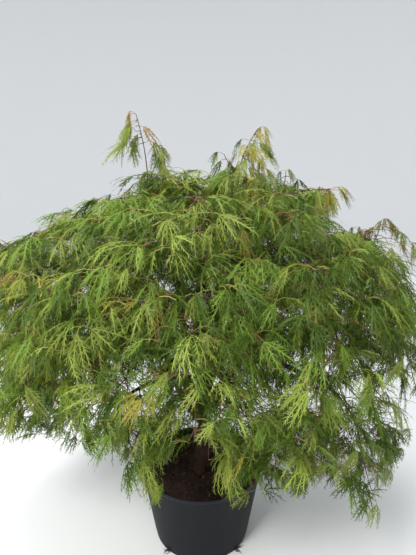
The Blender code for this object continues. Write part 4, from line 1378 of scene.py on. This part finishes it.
class Growth:
    """Grows every mass, and gathers the twigs and the leaves."""

    def __init__(self, rules):
        self.rules = rules
        self.forms = leaf_forms()
        self.twigs = []
        self.leaves = []
        self.tips = []
        self.deals = 0            # sprays that have been dealt a tint
        self.slack = 0.0          # how far the spray at hand may reach past the crown's edges
        limbs = all_limbs(LIMB_STEPS)
        coarse = all_limbs(COARSE_STEPS)
        middles = {row.name: mass_middle(row) for row in ROWS}
        for index, row in enumerate(ROWS):
            seed = rules.seed * SEED_STEP + index
            others = [middle for name, middle in middles.items() if name != row.name]
            self.room = Room(middles[row.name], others, coarse.values(), skirt_foot(row.turn))
            self.rng = random.Random(seed)
            self.grow_mass(row, limbs[row.name], seed)

    def cut_to_room(self, points):
        """The part of a twig up to where it would leave the dome or meet a limb."""
        kept = points[:1]
        for point in points[1:]:
            inside = (dome_measure([point])[0] <= TWIG_DEPTH
                      and within_edges([point], -TWIG_COVER))
            clear = len(kept) < LEAVING_STEPS or self.room.off_limbs([point])
            if not inside or not clear or not off_pot([point]):
                break
            kept.append(point)
        return kept

    def leaf_fits(self, spots, free):
        """True if a leaf's palm and tips are clear of all else, and in the dome if it isn't
        free of it."""
        if not free and (dome_measure(spots).max() > dome_limit(spots[0], self.slack)
                         or not within_edges(spots, self.slack)):
            return False
        if min(spot.z for spot in spots) < self.room.lowest:
            return False
        middle = spots[0].lerp(spots[1 + MIDDLE_LOBE], 0.5)
        return (off_pot(spots) and self.room.off_limbs(spots[:1]) and within_reach(spots)
                and off_cut_face([*spots, middle]))

    def add_leaf(self, point, turn, hang, size, tint, free=False, young=False):
        """Try a few turns and sizes of a leaf, and keep the first that fits."""
        rng = self.rng
        if rng.random() < STRAY_TINT:
            tint = rng.choice(STRAY_TINTS[tint])
        for shrink in LEAF_SHRINKS:
            kind = YOUNG
            if not young:
                droopy = hang + stray(rng, HANG_STRAY)
                kind = HANGING if droopy > HANGING_FROM else HALF if droopy > HALF_FROM else SPREAD
            form = rng.choice(kind)
            leaf = Leaf(point, turn + math.radians(stray(rng, LEAF_TURN)),
                        math.radians(rng.uniform(*LEAF_PITCH)),
                        math.radians(stray(rng, LEAF_ROLL)), size * shrink, form, tint)
            turned = Euler((leaf.roll, leaf.pitch, leaf.turn)).to_matrix() * leaf.size
            if self.leaf_fits([point + turned @ tip for tip in self.forms[form].tips], free):
                self.leaves.append(leaf)
                return

    def leaf_pair(self, point, way, hang, tint, share=1.0, **traits):
        """Two leaves that face each other across a twig."""
        level = math.atan2(way.y, way.x)
        for side in (-1.0, 1.0):
            size = self.rules.leaf * share * self.rng.uniform(*PAIR_SIZES)
            turn = level + side * math.radians(self.rng.uniform(*PAIR_TURNS))
            self.add_leaf(point, turn, hang, size, tint, **traits)

    def end_leaves(self, path, hang, tint, share=1.0, **traits):
        """The pair and the single leaf at a twig's tip. True if any of them fits."""
        before = len(self.leaves)
        way = headings(path)[-1]
        self.leaf_pair(path[-1], way, hang, tint, share, **traits)
        size = self.rules.leaf * share * self.rng.uniform(*END_SIZES)
        self.add_leaf(path[-1], math.atan2(way.y, way.x), hang, size, tint, **traits)
        return len(self.leaves) > before

    def pick_tint(self, tip, depth):
        """Colour of a spray: lighter where it lies further out, and on the left. Further in, the
        darker tint is partly the inner leaves' own deeper green and partly painted shade within the
        crown; to the right it is painted shade from the light on the left.
        """
        self.deals += 1
        dealt = self.deals * GOLDEN_SHARE % 1.0 * 2.0 - 1.0
        # Painted light: the spray's depth in the dome and its side stand in for how lit it is.
        light = depth - SIDE_SHADE * tip.x + dealt * TINT_SPREAD
        for tint, least in TINT_LEVELS:
            if light > least:
                return tint
        return "deep"

    def strew_tips(self, row, seed):
        """Spots for a mass's sprays, strewn through its room and well apart."""
        room = self.room
        chance = np.random.default_rng(seed)
        low, high = (np.array(corner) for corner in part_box(f"foliage_{row.name}"))
        low[2] = room.lowest
        spots = chance.uniform(low - TIP_PAD, high + TIP_PAD, (TIP_TRIES, 3))
        depths = dome_measure(spots)
        inside = (depths > INNER_DEPTH) & (depths < TIP_DEPTH)
        inside &= spots[:, 2] > room.lowest + TIP_LIFT
        inside &= ((spots - room.home) @ room.walls.T <= room.offsets).all(axis=1)
        kept = []
        for spot, depth in zip(spots[inside], depths[inside]):
            if thinned(spot):
                continue
            spacing = self.rules.spacing * (1.0 + INNER_THINNING * (1.0 - depth))
            if self.tips and np.linalg.norm(np.array(self.tips) - spot, axis=1).min() < spacing:
                continue
            if within_edges([spot]) and off_pot([spot]) and room.off_limbs([spot]):
                self.tips.append(spot)
                kept.append((Vector(spot), float(depth)))
        return kept

    def grow_spray(self, row, places, tip, depth):
        """Fine twig from the nearest place to a tip, with its leaves, all in one tint."""
        used = places.nearest(tip)
        start = places.points[used]
        toward = (tip - start).normalized()
        span = (tip - start).length
        outward = Vector((tip.x, tip.y / CROWN_DEPTH, 0.0)).normalized()
        ahead, direct, up = SPRAY_LEAVING
        leaving = (places.ways[used] * ahead + toward * direct + UP * up).normalized()
        out, direct, down = SPRAY_ARRIVING
        arriving = (outward * out + toward * direct - UP * row.hang * down).normalized()
        steps = max(TWIG_LEAST, round(span / SPRAY_STEP))
        path = self.cut_to_room(bezier(start, start + leaving * span * SPRAY_REACH,
                                       tip - arriving * span * SPRAY_REACH, tip, steps))
        if len(path) < TWIG_LEAST:
            return
        self.slack = self.rng.uniform(*SPRAY_SLACK)
        tint = self.pick_tint(tip, depth)
        height = (tip.z - CROWN_FOOT) / (CROWN_TOP - CROWN_FOOT)
        hang = SPRAY_HANG[0] + SPRAY_HANG[1] * row.hang * (1.0 - height)
        if not self.end_leaves(path, hang, tint):
            return
        self.twigs.append(tapered(path, SPRAY_RADII[0] + SPRAY_GIRTH * span, SPRAY_RADII[1]))
        places.add(path)
        places.use(used)
        ways = headings(path)
        for back in SPRAY_PAIRS:
            if back < len(path) - 1 and self.rng.random() < self.rules.fullness:
                self.leaf_pair(path[-1 - back], ways[-1 - back], hang, tint)

    def grow_shoot(self, stem, shoot):
        """Long young shoot that stands out of the dome, with small leaves."""
        rng = self.rng
        start = along(stem, shoot.along)[0]
        tip = place(shoot.turn, shoot.reach, shoot.height)
        bow = outward_at(shoot.turn) * (tip - start).length * shoot.bow
        steps = round((tip - start).length / SHOOT_STEP)
        bends = [start.lerp(tip, share) + bow for share in SHOOT_BENDS]
        path = bezier(start, *bends, tip, steps)
        self.twigs.append(tapered(path, *SHOOT_RADII))
        for step, way in enumerate(headings(path)):
            share = (step / steps - (1.0 - shoot.leafy)) / shoot.leafy
            if share < 0.0 or step in (0, steps):
                continue
            tint = shoot.tint if rng.random() < SHOOT_TINTED else "olive"
            size = SHOOT_SIZES[0] - SHOOT_SIZES[1] * share
            length = shoot.drape * (1.0 - share) + FINE_LEAST
            for side in (-1.0, 1.0):
                turn = math.atan2(way.y, way.x) + side * rng.uniform(*SHOOT_TURNS)
                leaving = level_way(turn) + UP * rng.uniform(*SHOOT_RISE)
                fine = weeping_path(path[step], leaving.normalized(), length, FINE_STEPS,
                                    FINE_SAG, FINE_WOBBLE, rng)
                self.twigs.append(tapered(fine, *FINE_RADII))
                if length > FINE_BEARING:
                    self.end_leaves(fine, FINE_HANG, tint, size, free=True)
                else:
                    self.add_leaf(fine[-1], turn, YOUNG_HANG, self.rules.leaf * size, tint,
                                  free=True, young=share > YOUNG_FROM)
        self.end_leaves(path, FINE_HANG, shoot.tint, SHOOT_TIP_SIZE, free=True, young=True)

    def side_twigs(self, row, stem):
        """Pairs of twigs along a mass's stem."""
        paths = []
        for index in range(self.rules.side_pairs):
            point, way = along(stem, (index + 0.5) / self.rules.side_pairs)
            across = way.cross(UP).normalized()
            for side in (-1.0, 1.0):
                rise = self.rng.uniform(*SIDE_TWIG_RISE)
                leaving = (way * SIDE_TWIG_FORWARD + across * side + UP * rise).normalized()
                length = row.twig * self.rng.uniform(*SIDE_TWIG_LENGTHS)
                path = self.cut_to_room(weeping_path(point, leaving, length, SIDE_TWIG_STEPS,
                                                     row.hang, SIDE_TWIG_WOBBLE, self.rng))
                if len(path) >= TWIG_LEAST:
                    paths.append(path)
        return paths

    def grow_mass(self, row, bough, seed):
        """Stem, side twigs, sprays, shoots and leaves of one mass."""
        stem = stem_path(row, bough, STEM_STEPS)
        while len(stem) > STEM_LEAST and not within_edges([stem[-1]], -STEM_COVER):
            stem.pop()
        while len(stem) > STEM_LEAST and not self.end_leaves(stem, STEM_HANG, "green"):
            stem.pop()
        self.twigs.append(tapered(stem, STEM_RADIUS, STEM_TIP_RADIUS))
        places = Places()
        places.add(bough.points[-BOUGH_PLACES:])
        places.add(stem)
        side_twigs = self.side_twigs(row, stem)
        for index, path in enumerate(side_twigs):
            places.add(path, index)
        tips = self.strew_tips(row, seed)
        for tip, depth in sorted(tips, key=lambda made: (made[0] - stem[0]).length):
            self.grow_spray(row, places, tip, depth)
        for index, path in enumerate(side_twigs):
            bearing = places.in_use.get(index, 0)
            if bearing:
                self.twigs.append(tapered(path[:bearing + 1], *SIDE_TWIG_RADII))
        for shoot in SHOOTS:
            if shoot.mass == row.name:
                self.grow_shoot(stem, shoot)


# ---------------------------------------------------------------- twigs and roots

TUBE_SIDES = 5
ROOT_SLOTS = (4, 6)               # the drain slots that root ends poke out of
ROOTS_IN_SLOT = 9
ROOT_LENGTHS = (0.010, 0.024)
ROOT_HEIGHTS = (0.0016, 0.0035)
ROOT_SPREAD = 0.03                # radians round the pot
ROOT_SPLAY = 0.9
ROOT_WOBBLE = 0.4
ROOT_STEPS = 7
ROOT_RADIUS = 0.0011
ROOT_TIP_SHARE = 0.3
ROOT_SEED = 8


def twig_material(settings):
    """Twig bark: grey-brown where it is old, and red-brown and smooth on the thin new wood."""
    material, tree, shader = new_material("twig bark", {"Roughness": 0.6})
    thick = add_node(tree, "ShaderNodeAttribute", attribute_name="thickness").outputs["Fac"]
    age = add_node(tree, "ShaderNodeMapRange",
                   {"Value": thick, "From Min": 0.0006, "From Max": 0.0030})
    paint(tree, shader, age.outputs["Result"],
          ((0.0, settings.young), (0.35, linear("#42332A")), (1.0, settings.crack)))
    return material


def tube_tree():
    """Tree that gives every line its thickness as a closed tube."""
    tree, given, out = new_tree("tubes along twigs", (
        ("Thickness", "NodeSocketFloat"), ("Sides", "NodeSocketInt"),
        ("Material", "NodeSocketMaterial")))
    lines = add_node(tree, "GeometryNodeMeshToCurve", {"Mesh": given["Geometry"]})
    kept = add_node(tree, "GeometryNodeInputNamedAttribute", {"Name": "thickness"},
                    data_type="FLOAT")
    radius = add_node(tree, "ShaderNodeMath",
                      {0: kept.outputs["Attribute"], 1: given["Thickness"]},
                      operation="MULTIPLY")
    ring = add_node(tree, "GeometryNodeCurvePrimitiveCircle",
                    {"Resolution": given["Sides"], "Radius": 1.0})
    tubes = add_node(tree, "GeometryNodeCurveToMesh",
                     {"Curve": lines.outputs["Curve"], "Profile Curve": ring.outputs["Curve"],
                      "Scale": radius.outputs["Value"], "Fill Caps": True})
    close_tree(tree, tubes.outputs["Mesh"], given["Material"], out)
    return tree


def make_tubes(name, twigs, scale, material):
    """One object with a closed tube along each twig."""
    points = []
    edges = []
    radii = []
    for twig in twigs:
        first = len(points)
        points.extend(twig.points)
        radii.extend(twig.radii)
        edges.extend((first + step, first + step + 1) for step in range(len(twig.points) - 1))
    mesh = bpy.data.meshes.new(name)
    mesh.from_pydata(points, edges, [])
    mesh.attributes.new("thickness", "FLOAT", "POINT").data.foreach_set("value", radii)
    item = link_object(name, mesh, material)
    grow_with(item, tube_tree(), Thickness=scale, Sides=TUBE_SIDES, Material=material)
    item.data.shade_smooth()
    return item


def build_twigs(rules, bark):
    """Every stem, side twig, fine twig and shoot."""
    twigs = make_tubes("twigs", Growth(rules).twigs, rules.thickness, twig_material(bark))
    dress(twigs, "bark", *FOLIAGE_NODES)


def root_end(bearing, rng):
    """One root that has grown out of a drain slot and wanders off over the floor."""
    way = level_way(bearing + stray(rng, ROOT_SPREAD))
    points = [way * (POT_BASE_RADIUS - POT_WALL) + UP * rng.uniform(*ROOT_HEIGHTS)]
    way = (way + way.cross(UP) * stray(rng, ROOT_SPLAY)).normalized()
    step = rng.uniform(*ROOT_LENGTHS) / ROOT_STEPS
    for _ in range(ROOT_STEPS):
        way = (way + Vector([stray(rng, ROOT_WOBBLE) for _ in range(3)])).normalized()
        point = points[-1] + way * step
        point.z = max(point.z, ROOT_RADIUS)
        points.append(point)
    return tapered(points, ROOT_RADIUS, ROOT_RADIUS * ROOT_TIP_SHARE)


def build_root_ends():
    """Wisps of dark root at two of the pot's drain slots."""
    rng = random.Random(ROOT_SEED)
    roots = [root_end(slot_bearing(slot), rng) for slot in ROOT_SLOTS for _ in range(ROOTS_IN_SLOT)]
    dress(make_tubes("root_ends", roots, 1.0, root_material()), "potting_soil")


# ---------------------------------------------------------------- leaves on the twigs

# Base colour of each tint, and how much of the light behind it shows through.
TINT_COLOURS = {
    "deep": ("#42571A", 0.20),
    "green": ("#667F2E", 0.25),
    "olive": ("#78853A", 0.25),
    "spring": ("#90A04C", 0.28),
    "gold": ("#948E40", 0.25),
    "bronze": ("#866C3A", 0.18),
}
PIECE_FACES = 190000              # most triangles in one piece


def leaf_material(name, code, through):
    """Maple leaf blade: thin, with a dull satin cuticle. Light that falls on one side
    glows through to the other, which lifts the green where blades hang before the light."""
    material, tree, shader = new_material(f"leaf blade {name}", {
        "Base Color": (*linear(code), 1.0), "Roughness": 0.45, "IOR": 1.42,
        "Specular IOR Level": 0.22})
    red, green, blue = scaled(linear(code), 1.3)
    glow = add_node(tree, "ShaderNodeBsdfTranslucent", {"Color": (red, green, blue * 0.4, 1.0)})
    mixed = add_node(tree, "ShaderNodeMixShader",
                     {0: through, 1: shader.outputs["BSDF"], 2: glow.outputs["BSDF"]})
    tree.links.new(mixed.outputs["Shader"], tree.nodes["Material Output"].inputs["Surface"])
    return material


def stalk_material():
    """Leaf stalk: thin and smooth, green flushed with red."""
    material, tree, shader = new_material("leaf stalk", {"Roughness": 0.5})
    spot = add_node(tree, "ShaderNodeTexCoord").outputs["Object"]
    flush = add_node(tree, "ShaderNodeTexNoise", {"Vector": spot, "Scale": 20.0})
    paint(tree, shader, flush.outputs["Fac"],
          ((0.40, linear("#8A9440")), (0.62, linear("#8F5A3C"))))
    return material


def leafing_tree():
    """Tree that sets a leaf form on each point, turned and sized by the point's own values."""
    tree, given, out = new_tree("leaves on points", (
        ("Forms", "NodeSocketCollection"), ("Size", "NodeSocketFloat"),
        ("Material", "NodeSocketMaterial")))
    forms = add_node(tree, "GeometryNodeCollectionInfo",
                     {"Collection": given["Forms"], "Separate Children": True,
                      "Reset Children": True})
    turn, size, form = (
        add_node(tree, "GeometryNodeInputNamedAttribute", {"Name": name},
                 data_type=kind).outputs["Attribute"]
        for name, kind in (("turn", "FLOAT_VECTOR"), ("size", "FLOAT"), ("form", "INT")))
    whole = add_node(tree, "ShaderNodeMath", {0: size, 1: given["Size"]}, operation="MULTIPLY")
    turned = add_node(tree, "FunctionNodeEulerToRotation", {"Euler": turn})
    set_on = add_node(tree, "GeometryNodeInstanceOnPoints",
                      {"Points": given["Geometry"], "Instance": forms.outputs["Instances"],
                       "Pick Instance": True, "Instance Index": form,
                       "Rotation": turned.outputs["Rotation"], "Scale": whole.outputs["Value"]})
    close_tree(tree, set_on.outputs["Instances"], given["Material"], out)
    return tree


def set_leaves(name, leaves, forms, tree, material):
    """Piece with one form for each leaf, from a loose point that holds the leaf's values."""
    mesh = bpy.data.meshes.new(name)
    mesh.from_pydata([leaf.point for leaf in leaves], [], [])
    turns = [angle for leaf in leaves for angle in (leaf.roll, leaf.pitch, leaf.turn)]
    for key, kind, field, values in (
            ("turn", "FLOAT_VECTOR", "vector", turns),
            ("size", "FLOAT", "value", [leaf.size for leaf in leaves]),
            ("form", "INT", "value", [leaf.form for leaf in leaves])):
        mesh.attributes.new(key, kind, "POINT").data.foreach_set(field, values)
    item = link_object(name, mesh, material)
    grow_with(item, tree, Forms=forms, Size=1.0, Material=material)
    dress(item, "foliage", *FOLIAGE_NODES)


def build_leaves(rules):
    """All leaves, in one piece or more for each tint, and their stalks."""
    growth = Growth(rules)
    blades = gather_forms("blade form", [form.blade for form in growth.forms])
    stalks = gather_forms("stalk form", [form.stalk for form in growth.forms])
    tree = leafing_tree()
    blade = growth.forms[0].blade
    blade.calc_loop_triangles()
    most = PIECE_FACES // len(blade.loop_triangles)
    for tint, (code, through) in TINT_COLOURS.items():
        leaves = [leaf for leaf in growth.leaves if leaf.tint == tint]
        material = leaf_material(tint, code, through)
        for part, first in enumerate(range(0, len(leaves), most), start=1):
            set_leaves(f"leaves_{tint}_{part}", leaves[first:first + most], blades, tree,
                       material)
    set_leaves("leaf_stalks", growth.leaves, stalks, tree, stalk_material())
    remove_forms(blades)
    remove_forms(stalks)


# ---------------------------------------------------------------- stage

FLOOR_RADIUS = 2.4
FLOOR_SIDES = 96
COVE_RADIUS = 1.0
COVE_STEPS = 12
WALL_FROM = 0.1                   # height that the wall's paint starts at
WALL_TOP = 3.2
CAMERA_TILT = 13.5                # degrees that the camera looks down
CAMERA_LENS = 30.16
LOOK_AT = Vector((0.0, 0.0, 0.45))
# Place, size and colour of each light.
WINDOW_LIGHT = ((-1.0, -1.5, 1.9), 0.7, (1.0, 0.99, 0.97))
ROOF_LIGHT = ((-0.1, -0.2, 2.5), 1.0, (0.98, 0.99, 1.0))
SKY_COLOUR = (0.96, 0.975, 1.0, 1.0)


def build_floor(settings):
    """Pale floor that curves up into a round wall."""
    floor_paint = new_material("matt floor paint", {"Base Color": (*settings.floor, 1.0),
                                                    "Roughness": 0.7})[0]
    wall_paint = new_material("matt wall paint", {"Base Color": (*settings.wall, 1.0),
                                                  "Roughness": 0.8})[0]
    profile = [(0.0, 0.0), (FLOOR_RADIUS / 2, 0.0),
               *arc(FLOOR_RADIUS, COVE_RADIUS, COVE_RADIUS, -90, 0, COVE_STEPS),
               (FLOOR_RADIUS + COVE_RADIUS, WALL_TOP)]
    bm = spin_profile(profile, FLOOR_SIDES)
    bmesh.ops.reverse_faces(bm, faces=bm.faces)
    floor = link_object("floor", take_mesh("floor", bm), floor_paint, wall_paint)
    floor.data.shade_smooth()
    for face in floor.data.polygons:
        face.material_index = int(face.center.z > WALL_FROM)


def add_area(name, watts, spot, size, colour):
    """Square area light that looks at the middle of the plant."""
    light = bpy.data.lights.new(name, "AREA")
    light.size = size
    light.energy = watts
    light.color = colour
    lamp = bpy.data.objects.new(name, light)
    lamp.location = spot
    lamp.rotation_euler = (LOOK_AT - lamp.location).to_track_quat("-Z", "Y").to_euler()
    bpy.context.scene.collection.objects.link(lamp)


def build_stage(settings):
    """Floor, soft lights, sky fill and the camera."""
    build_floor(settings)
    add_area("window light", settings.key, *WINDOW_LIGHT)
    add_area("roof light", settings.top, *ROOF_LIGHT)
    world = bpy.data.worlds.new("sky")
    world.use_nodes = True
    background = world.node_tree.nodes["Background"]
    background.inputs["Color"].default_value = SKY_COLOUR
    background.inputs["Strength"].default_value = settings.sky
    scene = bpy.context.scene
    scene.world = world
    scene.view_settings.view_transform = "Standard"
    camera = bpy.data.objects.new("camera", bpy.data.cameras.new("camera"))
    camera.location = EYE
    camera.rotation_euler = (math.radians(90.0 - CAMERA_TILT), 0.0, 0.0)
    camera.data.lens = CAMERA_LENS
    scene.collection.objects.link(camera)
    scene.camera = camera


# ---------------------------------------------------------------- operators and panel

class MAPLE_OT_stage(bpy.types.Operator):
    """Make the floor, the lights and the camera"""
    bl_idname = "maple.stage"
    bl_label = "Make stage"

    def execute(self, context):
        """Make the stage."""
        build_stage(context.scene.maple_stage)
        return {"FINISHED"}


class MAPLE_OT_pot(bpy.types.Operator):
    """Make the nursery pot"""
    bl_idname = "maple.pot"
    bl_label = "Make pot"

    def execute(self, context):
        """Make the pot."""
        build_pot(context.scene.maple_pot)
        return {"FINISHED"}


class MAPLE_OT_soil(bpy.types.Operator):
    """Fill the pot with soil, strew bark chips on it and add the root ends at its slots"""
    bl_idname = "maple.soil"
    bl_label = "Fill pot"

    def execute(self, context):
        """Make the soil, its chips and the root ends."""
        build_soil(context.scene.maple_soil)
        build_chips(context.scene.maple_soil)
        build_root_ends()
        return {"FINISHED"}


class MAPLE_OT_bark(bpy.types.Operator):
    """Make the bark of the trunk and the boughs"""
    bl_idname = "maple.bark"
    bl_label = "Make bark"

    def execute(self, context):
        """Make the bark."""
        build_bark(context.scene.maple_bark)
        return {"FINISHED"}


class MAPLE_OT_twigs(bpy.types.Operator):
    """Grow the twigs of every mass"""
    bl_idname = "maple.twigs"
    bl_label = "Grow twigs"

    def execute(self, context):
        """Make the twigs."""
        build_twigs(context.scene.maple_foliage, context.scene.maple_bark)
        return {"FINISHED"}


class MAPLE_OT_leaves(bpy.types.Operator):
    """Set the leaves on the twigs"""
    bl_idname = "maple.leaves"
    bl_label = "Grow leaves"

    def execute(self, context):
        """Make the leaves."""
        build_leaves(context.scene.maple_foliage)
        return {"FINISHED"}


SETTINGS = (
    ("maple_stage", MapleStageSettings), ("maple_pot", MaplePotSettings),
    ("maple_soil", MapleSoilSettings), ("maple_bark", MapleBarkSettings),
    ("maple_foliage", MapleFoliageSettings),
)
OPERATORS = (MAPLE_OT_stage, MAPLE_OT_pot, MAPLE_OT_soil, MAPLE_OT_bark, MAPLE_OT_twigs,
             MAPLE_OT_leaves)


class MAPLE_PT_panel(bpy.types.Panel):
    """Settings and steps of the potted maple"""
    bl_idname = "MAPLE_PT_panel"
    bl_label = "Potted maple"
    bl_space_type = "VIEW_3D"
    bl_region_type = "UI"
    bl_category = "Maple"

    def draw(self, context):
        """List every setting and then every operator."""
        for name, group in SETTINGS:
            box = self.layout.box()
            for setting in group.__annotations__:
                box.prop(getattr(context.scene, name), setting)
        for operator in OPERATORS:
            self.layout.operator(operator.bl_idname)


def register():
    """Register the settings, the operators and the panel."""
    for name, group in SETTINGS:
        bpy.utils.register_class(group)
        setattr(bpy.types.Scene, name, PointerProperty(type=group))
    for operator in OPERATORS:
        bpy.utils.register_class(operator)
    bpy.utils.register_class(MAPLE_PT_panel)


def unregister():
    """Take the panel, the operators and the settings away again."""
    bpy.utils.unregister_class(MAPLE_PT_panel)
    for operator in reversed(OPERATORS):
        bpy.utils.unregister_class(operator)
    for name, group in reversed(SETTINGS):
        delattr(bpy.types.Scene, name)
        bpy.utils.unregister_class(group)


def main():
    """Make every piece in order."""
    register()
    bpy.ops.maple.stage()
    bpy.ops.maple.pot()
    bpy.ops.maple.soil()
    bpy.ops.maple.bark()
    bpy.ops.maple.twigs()
    bpy.ops.maple.leaves()


if __name__ == "__main__":
    main()
